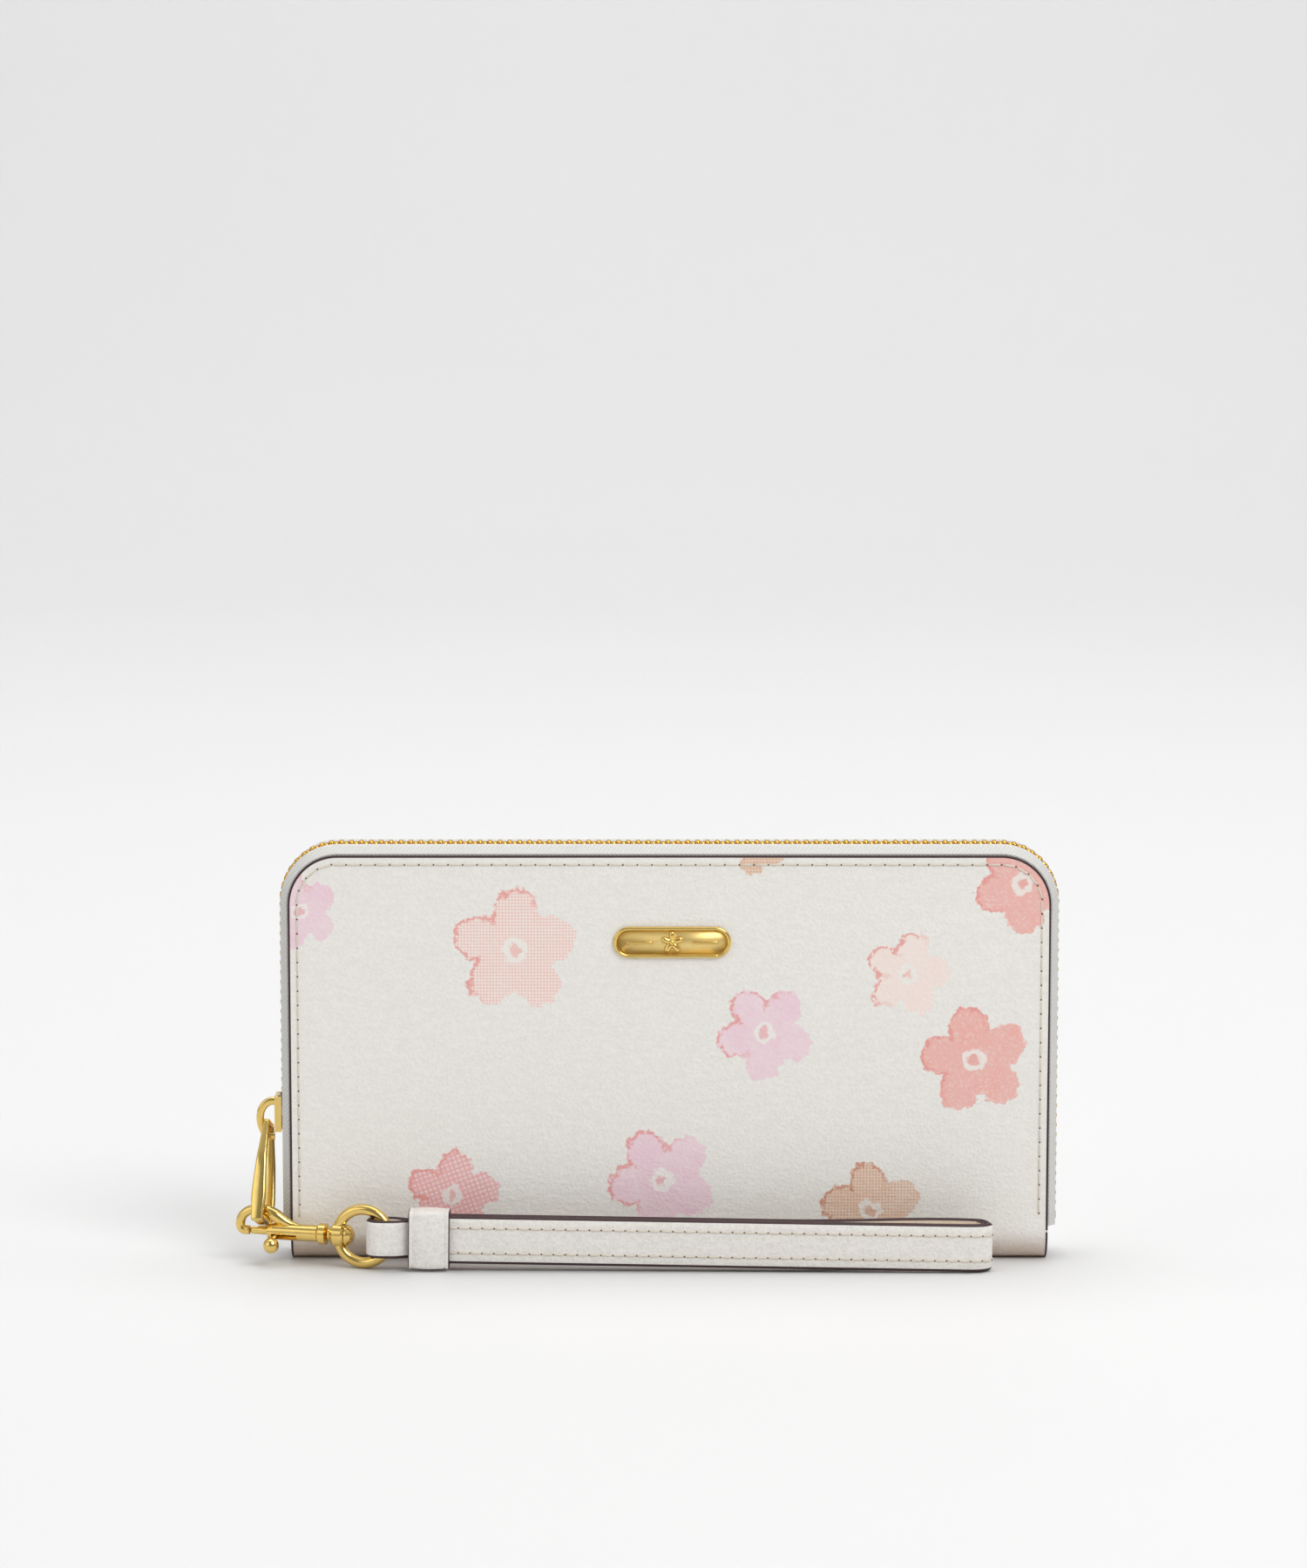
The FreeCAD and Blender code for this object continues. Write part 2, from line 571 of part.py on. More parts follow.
def pull_loop():
    """The stirrup that hangs from the slider, narrow at its top bar and wide at its foot."""
    body = new_body("zip_pull_loop")
    top, foot, bar = S.pull_top / 2, S.pull_bottom / 2, S.pull_bar
    down = -S.pull_length
    end = S.pull_end_bar
    half = S.pull_thick.value / 2
    sketch = new_sketch(body, "YZ_Plane")
    wide = -S.pull_shoulder
    draw_polygon(sketch, [(-top, 0.7), (top, 0.7), (foot, wide), (foot, down - end / 2),
                          (-foot, down - end / 2), (-foot, wide)])
    extrude(body, sketch, S.pull_thick)
    hole = new_sketch(body, "YZ_Plane")
    inner = foot - bar - 0.1
    draw_polygon(hole, [(bar - top, -0.8), (top - bar, -0.8), (inner, wide), (inner, down + end / 2),
                        (-inner, down + end / 2), (-inner, wide)])
    extrude(body, hole, 2 * S.pull_end_bar, cut=True)
    round_edges(body, 0.35, lambda middle, spans: abs(abs(middle.x) - half) < 1e-4
                and spans[0] < 1e-4 and middle.z < -2)
    place(body, x=-(S.panel_width / 2) - S.pull_axis_out, z=S.pull_axis_height)
    tilt = FreeCAD.Rotation(V(1, 0, 0), -S.pull_tilt.value)
    lean = FreeCAD.Rotation(V(0, 1, 0), S.pull_lean.value)
    twist = FreeCAD.Rotation(V(0, 0, 1), -S.pull_turn.value)
    body.Placement = FreeCAD.Placement(body.Placement.Base, tilt.multiply(lean).multiply(twist))


def hook_place(body, roll=None):
    """Put a piece of the bolt snap on the hook's axis."""
    if roll is None:
        place(body, S.hook_x, S.hook_y, S.hook_height, -S.hook_yaw, (0, 0, 1))
        return
    place(body, S.hook_x, S.hook_y, S.hook_height)
    yaw = FreeCAD.Rotation(V(0, 0, 1), -S.hook_yaw.value)
    body.Placement = FreeCAD.Placement(body.Placement.Base, yaw.multiply(FreeCAD.Rotation(V(1, 0, 0), roll)))


def hook_bow():
    """The hook's eye: a curved bow from the barrel's shoulder round to its tip on the axis."""
    body = new_body("hook_bow")
    sketch = new_sketch(body, "XZ_Plane")
    outline = [(7.6, 1.2), (6.2, 2.9), (1.2, 6.3), (-0.6, 6.6), (-3.6, 6.4), (-6.3, 4.6), (-7.1, 2.4),
               (-7.1, 0.0), (-6.2, -1.1), (-3.2, -1.1), (-3.2, 1.1), (-4.5, 1.1), (-4.7, 2.6),
               (-3.9, 3.9), (-2.4, 4.4), (-0.4, 4.4), (1.5, 3.4), (1.75, 1.2)]
    draw_polygon(sketch, outline)
    extrude(body, sketch, S.bow_thick)
    seat = new_sketch(body, "XZ_Plane")
    draw_polygon(seat, [(S.barrel_start, 0), (9, 0), (9, S.barrel_radius),
                        (S.barrel_start, S.barrel_radius)])
    turn(body, seat, "H_Axis", cut=True)
    edge = S.bow_thick.value / 2
    round_edges(body, 0.6, lambda middle, spans: spans[1] < 1e-4 and abs(abs(middle.y) - edge) < 1e-4
                and middle.z > 2.95)
    hook_place(body)


def hook_barrel():
    """The spring barrel with its collar, bore and thumb slot."""
    body = new_body("hook_barrel")
    profile = new_sketch(body, "XZ_Plane")
    draw_polygon(profile, [(S.barrel_start, 0), (S.barrel_start, S.barrel_radius),
                           (S.collar_start - 0.6, S.barrel_radius), (S.collar_start, S.collar_radius),
                           (S.collar_start + 1.7, S.collar_radius), (S.collar_start + 2.3, 1.5),
                           (S.barrel_end, 1.5), (S.barrel_end, 0)])
    turn(body, profile, "H_Axis")
    bore = new_sketch(body, "XZ_Plane")
    draw_polygon(bore, [(S.barrel_start - 1, 0), (S.barrel_start - 1, S.bore_radius),
                        (S.bore_end, S.bore_radius), (S.bore_end, 0)])
    turn(body, bore, "H_Axis", cut=True)
    slot = new_sketch(body, "XZ_Plane", S.barrel_radius)
    draw_polygon(slot, box_points(S.knob_at - S.stem_radius - 0.2, -S.slot_half,
                                  S.knob_at + S.bolt_travel + S.stem_radius + 0.2, S.slot_half))
    extrude(body, slot, 2 * S.barrel_radius - 0.2, cut=True)
    hook_place(body, S.knob_roll.value)


def gate_bolt():
    """The bolt that closes the eye, with the stem that carries its thumb knob."""
    body = new_body("gate_bolt")
    profile = new_sketch(body, "XZ_Plane")
    draw_polygon(profile, [(S.bolt_tip, 0), (S.bolt_tip, 0.6 * S.bolt_radius),
                           (S.bolt_tip + 0.4, S.bolt_radius), (S.bolt_end, S.bolt_radius), (S.bolt_end, 0)])
    turn(body, profile, "H_Axis")
    stem = new_sketch(body, "XZ_Plane", S.knob_reach / 2)
    draw_circle(stem, S.knob_at, 0, S.stem_radius)
    extrude(body, stem, S.knob_reach)
    hook_place(body, S.knob_roll.value)


def draw_half_disc(sketch, x, radius):
    """A half disc above the sketch's horizontal axis."""
    x, radius = sized(x), sized(radius)
    circle = Part.Circle(V(x.value, 0, 0), V(0, 0, 1), radius.value)
    sketch.addGeometry(Part.ArcOfCircle(circle, 0, 3.141592653589793), False)
    sketch.addGeometry(Part.LineSegment(V(x.value - radius.value, 0, 0), V(x.value + radius.value, 0, 0)),
                       False)
    sketch.addConstraint(Sketcher.Constraint("Coincident", 0, 2, 1, 1))
    sketch.addConstraint(Sketcher.Constraint("Coincident", 0, 1, 1, 2))
    sketch.addConstraint(Sketcher.Constraint("Horizontal", 1))
    dimension(sketch, "Radius", 0, radius)
    fix_point(sketch, 0, 3, x, 0)


def thumb_knob():
    """The ball that the thumb draws back."""
    body = new_body("thumb_knob")
    profile = new_sketch(body, "XZ_Plane")
    draw_half_disc(profile, 0, S.knob_radius)
    turn(body, profile, "H_Axis")
    hook_place(body, S.knob_roll.value)
    out = body.Placement.Rotation.multVec(V(S.knob_at.value, -(S.knob_reach + S.knob_radius).value, 0))
    for path, size, shift in (("x", S.hook_x, out.x), ("y", S.hook_y, out.y), ("z", S.hook_height, out.z)):
        body.setExpression("Placement.Base." + path, (size + shift).text)


def bolt_spring():
    """The coil behind the bolt, drawn as the rings of its turns."""
    body = new_body("bolt_spring")
    start, end = S.bolt_end + 0.3, S.bore_end - 0.3
    turns = int(S.spring_turns.value)
    pitch = (end - start) / (turns - 1)
    for number in range(turns):
        ring = new_sketch(body, "XZ_Plane")
        draw_circle(ring, start + pitch * number, S.spring_radius, S.spring_wire)
        turn(body, ring, "H_Axis")
    spine = new_sketch(body, "XZ_Plane")
    draw_polygon(spine, box_points(start, S.spring_radius - 0.12, end, S.spring_radius + 0.12))
    extrude(body, spine, 0.24)
    hook_place(body)


def swivel_rivet():
    """The rivet that the ring's boss turns on, with its domed head inside the ring."""
    body = new_body("swivel_rivet")
    profile = new_sketch(body, "XZ_Plane")
    head, end = S.rivet_head_start, S.rivet_head_end
    draw_polygon(profile, [(S.barrel_end, 0), (S.barrel_end, S.rivet_radius), (head, S.rivet_radius),
                           (head, S.rivet_head), (head + 0.5, S.rivet_head),
                           (end - 0.5, 0.72 * S.rivet_head), (end, 0.35 * S.rivet_head), (end, 0)])
    turn(body, profile, "H_Axis")
    hook_place(body)


def swivel_ring():
    """The round ring with the boss that turns on the rivet."""
    body = new_body("swivel_ring")
    wire = new_sketch(body, "XY_Plane")
    draw_circle(wire, S.ring_radius, 0, S.ring_wire)
    turn(body, wire, "V_Axis")
    boss = new_sketch(body, "XZ_Plane")
    low, high = S.boss_start - S.ring_centre, S.boss_end - S.ring_centre
    draw_polygon(boss, [(low, 0), (low, S.boss_radius - 0.6), (low + 0.6, S.boss_radius),
                        (high - 0.6, S.boss_radius), (high, S.boss_radius - 0.6), (high, 0)])
    turn(body, boss, "H_Axis")
    bore = new_sketch(body, "XZ_Plane")
    draw_polygon(bore, [(low - 3, 0), (low - 3, S.boss_bore), (high + 1, S.boss_bore), (high + 1, 0)])
    turn(body, bore, "H_Axis", cut=True)
    hook_place(body)
    out = body.Placement.Rotation.multVec(V(S.ring_centre.value, 0, 0))
    for path, size, shift in (("x", S.hook_x, out.x), ("y", S.hook_y, out.y)):
        body.setExpression("Placement.Base." + path, (size + shift).text)


RING_YAW = FreeCAD.Rotation(V(0, 0, 1), -S.hook_yaw.value)
STRAP_PIN = RING_YAW.multVec(V((S.ring_centre + S.ring_radius).value, 0, 0))


def strap_place(body):
    """Put a piece of the strap at the ring wire it hangs on, dropping a little towards its far end."""
    body.Placement = FreeCAD.Placement(V(), FreeCAD.Rotation(-S.strap_yaw.value, S.strap_drop.value, 0))
    base = (S.hook_x + STRAP_PIN.x, S.hook_y + STRAP_PIN.y, S.hook_height)
    for path, size in zip(("x", "y", "z"), base):
        body.setExpression("Placement.Base." + path, sized(size).text)


def loop_outline(inset):
    """The wrist loop's outline in plan, drawn in by inset from its outer face."""
    stack = 2 * (S.strap_leather + S.strap_inner)
    near = -(stack / 2)
    far = stack / 2
    start, length = S.strap_start, S.strap_length
    return [(start, near + inset), (length - 1.6, near + inset), (length - inset, near + inset + 1.4),
            (length - inset, far + S.loop_gap * 0.62 - inset * 0.6),
            (length - 3.2, far + S.loop_gap - inset), (S.loop_wide - 8, far + S.loop_gap - inset),
            (S.loop_start, far - inset), (start, far - inset)]


def wrist_strap():
    """The strap's outer leather and its lining: one strip doubled back on itself into a loop."""
    lining_face = S.strap_leather + S.strap_inner - 0.02
    start = S.strap_start - 2
    for name, outer_inset, inner_inset in (("strap_leather", 0, S.strap_leather),
                                           ("strap_inner", S.strap_leather, lining_face)):
        body = new_body(name)
        sketch = new_sketch(body, "XY_Plane")
        draw_polygon(sketch, loop_outline(sized(outer_inset)))
        extrude(body, sketch, S.strap_width)
        hole = new_sketch(body, "XY_Plane")
        inner = loop_outline(inner_inset)
        draw_polygon(hole, [(start, inner[0][1])] + inner[1:-1] + [(start, inner[-1][1])])
        extrude(body, hole, 2 * S.strap_width, cut=True)
        strap_place(body)


def ring_tab():
    """The leather tab that doubles round the ring and runs under the keeper."""
    hold = S.ring_wire + S.tab_play
    skin = S.tab_leather
    reach = -S.tab_reach
    body = new_body("ring_tab")
    sketch = new_sketch(body, "XY_Plane")
    draw_circle(sketch, reach, 0, hold + skin)
    extrude(body, sketch, S.tab_width)
    tail = new_sketch(body, "XY_Plane")
    draw_polygon(tail, [(reach, -(hold + skin)), (0, -(hold + skin)), (3.4, -skin), (S.strap_start, -skin),
                        (S.strap_start, skin), (3.4, skin), (0, hold + skin), (reach, hold + skin)])
    extrude(body, tail, S.tab_width)
    channel = new_sketch(body, "XY_Plane")
    draw_circle(channel, 0, 0, hold)
    middle = -S.ring_radius
    axis = channel.addGeometry(Part.LineSegment(V(middle.value, -5, 0), V(middle.value, 5, 0)), True)
    fix_point(channel, axis, 1, middle, -5)
    fix_point(channel, axis, 2, middle, 5)
    turn(body, channel, "Axis0", cut=True)
    strap_place(body)


def keeper():
    """The leather band round the strap beside the ring."""
    body = new_body("strap_keeper")
    half = S.strap_leather + S.strap_inner + 0.02
    skin = S.keeper_leather
    sketch = new_sketch(body, "YZ_Plane", S.keeper_start + S.keeper_length / 2)
    rise = S.keeper_width / 2
    draw_polygon(sketch, box_points(-half - skin, -rise, half + skin, rise))
    extrude(body, sketch, S.keeper_length)
    round_edges(body, 0.6, lambda middle, spans: along(0, spans))
    hole = new_sketch(body, "YZ_Plane")
    draw_polygon(hole, box_points(-half, 0.8 - rise, half, rise - 0.8))
    extrude(body, hole, 4 * S.keeper_length + 20, cut=True)
    strap_place(body)


def check_document():
    """Stop if any object failed or any sub-part isn't one valid solid."""
    DOC.recompute()
    for item in DOC.Objects:
        if "Invalid" in item.State or "Error" in item.State:
            raise RuntimeError("%s is not up to date" % item.Name)
    for body in BODIES:
        shape = body.Shape
        if shape.isNull() or not shape.isValid() or len(shape.Solids) != 1:
            raise RuntimeError("%s is not one valid solid" % body.Label)


def export_steps():
    """Write each sub-part's STEP file."""
    os.makedirs("parts", exist_ok=True)
    for body in BODIES:
        body.Shape.exportStep("parts/%s.step" % body.Label)


front_panel()
spine_panel()
back_panel()
spine_lining()
for side, sign in (("front", -1), ("back", 1)):
    cover_layers(side, sign)
    zip_side(side, sign)
end_stop()
gusset("gusset_left", -1)
gusset("gusset_right", 1)
emblem()
divider_sheets()
coin_zip()
slider_body()
slider_bridge()
pull_loop()
hook_bow()
hook_barrel()
gate_bolt()
thumb_knob()
bolt_spring()
swivel_rivet()
swivel_ring()
wrist_strap()
ring_tab()
keeper()
check_document()
export_steps()
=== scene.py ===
import math

import bpy
from mathutils import Matrix, Vector


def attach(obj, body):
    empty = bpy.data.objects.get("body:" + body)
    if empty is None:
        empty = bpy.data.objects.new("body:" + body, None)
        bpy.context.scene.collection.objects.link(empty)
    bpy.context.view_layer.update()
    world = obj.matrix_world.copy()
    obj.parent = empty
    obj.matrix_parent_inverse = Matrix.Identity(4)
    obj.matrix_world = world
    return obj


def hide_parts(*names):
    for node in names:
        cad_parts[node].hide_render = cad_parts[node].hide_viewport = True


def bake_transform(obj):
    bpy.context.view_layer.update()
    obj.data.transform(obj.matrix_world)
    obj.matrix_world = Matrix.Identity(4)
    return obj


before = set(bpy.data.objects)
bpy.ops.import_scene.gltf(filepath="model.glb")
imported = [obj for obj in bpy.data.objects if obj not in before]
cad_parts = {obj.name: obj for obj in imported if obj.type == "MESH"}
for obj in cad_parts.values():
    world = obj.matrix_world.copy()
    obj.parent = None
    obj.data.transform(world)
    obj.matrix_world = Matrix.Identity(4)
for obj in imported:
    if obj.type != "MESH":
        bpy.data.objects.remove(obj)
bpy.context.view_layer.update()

# Lengths are in millimetres here and turned into metres as meshes are made.
MM = 0.001
PANEL_HALF, PANEL_TOP, CORNER = 96.0, 104.0, 12.5
HALF_DEPTH, BASE_RADIUS, CANVAS = 9.5, 7.5, 1.0
FOOT_HALF = HALF_DEPTH - BASE_RADIUS
SEAM_Y = -FOOT_HALF / 2
HOOK_YAW, HOOK_AT = math.radians(15.2), Vector((-103.1, -11.0, 8.3))
STRAP_YAW, STRAP_DROP, STRAP_HALF_WIDTH = math.radians(1.0), math.radians(0.75), 6.0
PULL_AT = Vector((-101.9, 0.0, 33.8))
PULL_TURN = (Matrix.Rotation(math.radians(-24), 3, "X") @ Matrix.Rotation(math.radians(3.4), 3, "Y")
             @ Matrix.Rotation(math.radians(-10), 3, "Z"))
RING_PIN = 26.8 + 6.85

# ---------------------------------------------------------------- camera


def make_camera():
    """A long lens ten degrees above the table, with the wallet low in a tall frame 331 mm wide."""
    elevation, distance, frame_width = math.radians(10), 1.6, 0.3311
    target = Vector((-0.004, -0.005, 0.052))
    data = bpy.data.cameras.new("view_camera")
    data.sensor_fit = "HORIZONTAL"
    data.sensor_width = 36
    data.lens = 36 * distance / frame_width
    data.shift_y = 0.2087
    data.clip_start, data.clip_end = 0.05, 50
    camera = bpy.data.objects.new("view_camera", data)
    bpy.context.scene.collection.objects.link(camera)
    camera.location = target + distance * Vector((0, -math.cos(elevation), math.sin(elevation)))
    camera.rotation_euler = (target - camera.location).to_track_quat("-Z", "Y").to_euler()
    bpy.context.scene.camera = camera


# ---------------------------------------------------------------- node helpers

class Tree:
    """A short way to write a material's nodes."""

    def __init__(self, tree):
        self.tree = tree

    def add(self, kind, **settings):
        made = self.tree.nodes.new(kind)
        for name, value in settings.items():
            setattr(made, name, value)
        return made

    def feed(self, socket, value):
        if isinstance(value, bpy.types.NodeSocket):
            self.tree.links.new(value, socket)
        elif value is not None:
            socket.default_value = value

    def math(self, operation, first, second=None, third=None, clamp=False):
        made = self.add("ShaderNodeMath", operation=operation, use_clamp=clamp)
        for socket, value in zip(made.inputs, (first, second, third)):
            self.feed(socket, value)
        return made.outputs[0]

    def step(self, value, low, high):
        made = self.add("ShaderNodeMapRange", interpolation_type="SMOOTHSTEP")
        for name, number in (("Value", value), ("From Min", low), ("From Max", high)):
            self.feed(made.inputs[name], number)
        return made.outputs["Result"]

    def mix(self, factor, first, second):
        made = self.add("ShaderNodeMix", data_type="RGBA")
        self.feed(made.inputs["Factor"], factor)
        self.feed(made.inputs["A"], colour4(first))
        self.feed(made.inputs["B"], colour4(second))
        return made.outputs["Result"]

    def noise(self, vector, scale, detail=2.0, roughness=0.5):
        made = self.add("ShaderNodeTexNoise")
        for name, value in (("Vector", vector), ("Scale", scale), ("Detail", detail),
                            ("Roughness", roughness)):
            self.feed(made.inputs[name], value)
        return made.outputs["Fac"]

    def voronoi(self, vector, scale, feature="F1"):
        made = self.add("ShaderNodeTexVoronoi", feature=feature)
        self.feed(made.inputs["Vector"], vector)
        self.feed(made.inputs["Scale"], scale)
        return made.outputs["Distance"]

    def millimetres(self, stretch=(1000, 1000, 1000)):
        """The object's own coordinates in millimetres."""
        place = self.add("ShaderNodeTexCoord")
        scale = self.add("ShaderNodeVectorMath", operation="MULTIPLY")
        self.tree.links.new(place.outputs["Object"], scale.inputs[0])
        scale.inputs[1].default_value = stretch
        return scale.outputs[0]

    def bump(self, height, strength, distance, below=None):
        made = self.add("ShaderNodeBump")
        self.feed(made.inputs["Height"], height)
        self.feed(made.inputs["Strength"], strength)
        self.feed(made.inputs["Distance"], distance)
        if below is not None:
            self.tree.links.new(below, made.inputs["Normal"])
        return made.outputs["Normal"]


def colour4(value):
    """A colour tuple with an alpha; anything else is given back as it is."""
    return (*value, 1.0) if isinstance(value, tuple) and len(value) == 3 else value


def srgb(red, green, blue):
    """A display colour of 0 to 255 as the linear colour that shaders take."""
    return tuple(((c / 255 + 0.055) / 1.055) ** 2.4 if c > 10 else c / 255 / 12.92
                 for c in (red, green, blue))


def new_material(name):
    """A material with its output and principled shader ready."""
    material = bpy.data.materials.new(name)
    material.use_nodes = True
    nodes = Tree(material.node_tree)
    shader = material.node_tree.nodes["Principled BSDF"]
    return material, nodes, shader


def metal(name, colour, roughness, wear=0.06):
    """Polished metal with fine cloudy wear in its gloss."""
    material, nodes, shader = new_material(name)
    place = nodes.millimetres()
    cloud = nodes.noise(place, 0.6, 4.0)
    nodes.feed(shader.inputs["Base Color"], nodes.mix(cloud, colour, tuple(c * 0.88 for c in colour)))
    shader.inputs["Metallic"].default_value = 1.0
    rough = nodes.math("MULTIPLY_ADD", cloud, wear, roughness)
    nodes.feed(shader.inputs["Roughness"], rough)
    nodes.feed(shader.inputs["Normal"], nodes.bump(nodes.noise(place, 9.0), 0.04, 0.0001))
    return material


def cloth(name, colour, pitch=0.5, roughness=0.85, depth=0.35):
    """Plain woven cloth with a visible thread pitch in millimetres."""
    material, nodes, shader = new_material(name)
    place = nodes.millimetres()
    split = nodes.add("ShaderNodeSeparateXYZ")
    nodes.feed(split.inputs[0], place)
    turns = math.tau / pitch / 2
    warp = nodes.math("SINE", nodes.math("MULTIPLY", nodes.math("ADD", split.outputs["X"],
                                                                split.outputs["Y"]), turns))
    weft = nodes.math("SINE", nodes.math("MULTIPLY", nodes.math("ADD", split.outputs["Z"],
                                                                split.outputs["Y"]), turns))
    weave = nodes.math("MULTIPLY", warp, weft)
    cloud = nodes.noise(place, 0.12, 3.0)
    shade = nodes.mix(cloud, colour, tuple(c * 0.86 for c in colour))
    shade = nodes.mix(nodes.step(weave, -1.0, 1.0), tuple(c * 0.8 for c in colour), shade)
    nodes.feed(shader.inputs["Base Color"], shade)
    shader.inputs["Roughness"].default_value = roughness
    nodes.feed(shader.inputs["Normal"], nodes.bump(weave, depth, 0.0002))
    return material


def grain(nodes, place, strength=0.5):
    """The pebbled, slightly creased grain of the coated canvas and the strap's leather."""
    pebbles = nodes.voronoi(place, 1.25)
    fine = nodes.noise(place, 3.2, 3.0, 0.6)
    stretched = nodes.add("ShaderNodeMapping")
    nodes.feed(stretched.inputs["Vector"], place)
    stretched.inputs["Scale"].default_value = (0.5, 1.0, 1.5)
    creases = nodes.noise(stretched.outputs[0], 0.55, 6.0, 0.62)
    height = nodes.math("ADD", nodes.math("MULTIPLY", pebbles, 0.55), nodes.math("MULTIPLY", fine, 0.35))
    height = nodes.math("ADD", height, nodes.math("MULTIPLY", creases, 0.9))
    return height, nodes.bump(height, strength, 0.00035)


def leather(name, colour, roughness=0.5, strength=0.45):
    """Grained leather in one dye."""
    material, nodes, shader = new_material(name)
    place = nodes.millimetres()
    height, normal = grain(nodes, place, strength)
    shade = nodes.mix(nodes.step(height, 0.5, 1.2), tuple(c * 0.86 for c in colour), colour)
    nodes.feed(shader.inputs["Base Color"], shade)
    nodes.feed(shader.inputs["Roughness"], nodes.math("MULTIPLY_ADD", height, 0.12, roughness))
    nodes.feed(shader.inputs["Normal"], normal)
    return material


# ---------------------------------------------------------------- the printed canvas

CREAM = srgb(241, 238, 232)
LILAC, PINK, CORAL = srgb(240, 207, 219), srgb(244, 204, 207), srgb(232, 146, 138)
PEACH, SALMON = srgb(246, 227, 219), srgb(240, 176, 166)
TAN, BROWN = srgb(233, 203, 180), srgb(198, 126, 94)


def flower(pattern, fill, line, x, z, reach, turn):
    """A plain five-petal flower: its pattern, fill, line colour, middle, lobes and marks.

    A lobe is x, z, half width, half height and lean. A mark is x, z, radius and whether it is dark.
    All are millimetres on the panel.
    """
    lobes = [(x, z, 0.5 * reach, 0.5 * reach, 0.0)]
    for petal in range(5):
        lean = turn + math.tau * petal / 5
        lobes.append((x + 0.56 * reach * math.cos(lean), z + 0.56 * reach * math.sin(lean),
                      0.44 * reach, 0.37 * reach, lean))
    marks = ((x, z, 0.21 * reach, False), (x, z, 0.1 * reach, True))
    return pattern, fill, line, (x, z), tuple(lobes), marks


PEACH_DOTS, TAN_DOTS = ("dots", PEACH, CORAL), ("dots", TAN, BROWN)
PEACH_WASH, LILAC_WASH = ("plain", PEACH, CORAL), ("plain", LILAC, CORAL)
SALMON_WASH, PINK_MESH = ("solid", SALMON, CORAL), ("hatch", PINK, CORAL)
FRONT_PRINTS = [flower(*wash, *place) for wash, place in (
    (PEACH_DOTS, (-39, 80, 16, 0.3)), (LILAC_WASH, (24, 59, 12.5, 0.9)), (SALMON_WASH, (77, 52, 14, 0.5)),
    (PEACH_WASH, (60, 74, 11, 0.1)), (SALMON_WASH, (89, 97, 13, 1.0)), (LILAC_WASH, (-93, 90, 10, 0.6)),
    (PINK_MESH, (-55, 17, 12, 0.2)), (LILAC_WASH, (-2, 21, 14, 0.8)), (TAN_DOTS, (51, 13, 13, 0.4)),
    (TAN_DOTS, (22, 107, 8, 0.7)))]
BACK_PRINTS = [flower(*wash, *place) for wash, place in (
    (PEACH_DOTS, (46, 74, 16, 0.7)), (LILAC_WASH, (-66, 82, 12.5, 0.2)), (SALMON_WASH, (-24, 44, 14, 1.1)),
    (PEACH_WASH, (4, 88, 11, 0.5)), (PINK_MESH, (12, 22, 12, 0.9)), (LILAC_WASH, (84, 40, 14, 0.3)),
    (TAN_DOTS, (-80, 30, 13, 0.6)), (SALMON_WASH, (88, 98, 12, 0.1)))]


def lobe_group():
    """A node group that gives how far a point lies outside one lobe, in millimetres."""
    group = bpy.data.node_groups.new("lobe", "ShaderNodeTree")
    group.interface.new_socket("Point", in_out="INPUT", socket_type="NodeSocketVector")
    names = ("X", "Z", "Half width", "Half height", "Cosine", "Sine")
    for name in names:
        group.interface.new_socket(name, in_out="INPUT", socket_type="NodeSocketFloat")
    group.interface.new_socket("Outside", in_out="OUTPUT", socket_type="NodeSocketFloat")
    nodes = Tree(group)
    given = nodes.add("NodeGroupInput")
    x, z, half_width, half_height, cosine, sine = (given.outputs[name] for name in names)
    split = nodes.add("ShaderNodeSeparateXYZ")
    nodes.feed(split.inputs[0], given.outputs["Point"])
    across = nodes.math("SUBTRACT", split.outputs["X"], x)
    upward = nodes.math("SUBTRACT", split.outputs["Z"], z)
    along = nodes.math("ADD", nodes.math("MULTIPLY", across, cosine), nodes.math("MULTIPLY", upward, sine))
    side = nodes.math("SUBTRACT", nodes.math("MULTIPLY", upward, cosine),
                      nodes.math("MULTIPLY", across, sine))
    along, side = nodes.math("DIVIDE", along, half_width), nodes.math("DIVIDE", side, half_height)
    far = nodes.math("SQRT", nodes.math("ADD", nodes.math("MULTIPLY", along, along),
                                        nodes.math("MULTIPLY", side, side)))
    result = nodes.add("NodeGroupOutput")
    nodes.feed(result.inputs["Outside"], nodes.math("MULTIPLY", nodes.math("SUBTRACT", far, 1.0),
                                                    nodes.math("MINIMUM", half_width, half_height)))
    return group


def lattice(nodes, place, pitch, limit):
    """Printer's dots on a slanted square lattice."""
    split = nodes.add("ShaderNodeSeparateXYZ")
    nodes.feed(split.inputs[0], place)
    turns = math.pi / pitch
    first = nodes.math("SINE", nodes.math("MULTIPLY", nodes.math("ADD", split.outputs["X"],
                                                                 split.outputs["Z"]), turns))
    second = nodes.math("SINE", nodes.math("MULTIPLY", nodes.math("SUBTRACT", split.outputs["X"],
                                                                  split.outputs["Z"]), turns))
    return nodes.step(nodes.math("MULTIPLY", first, second), limit, limit + 0.25)


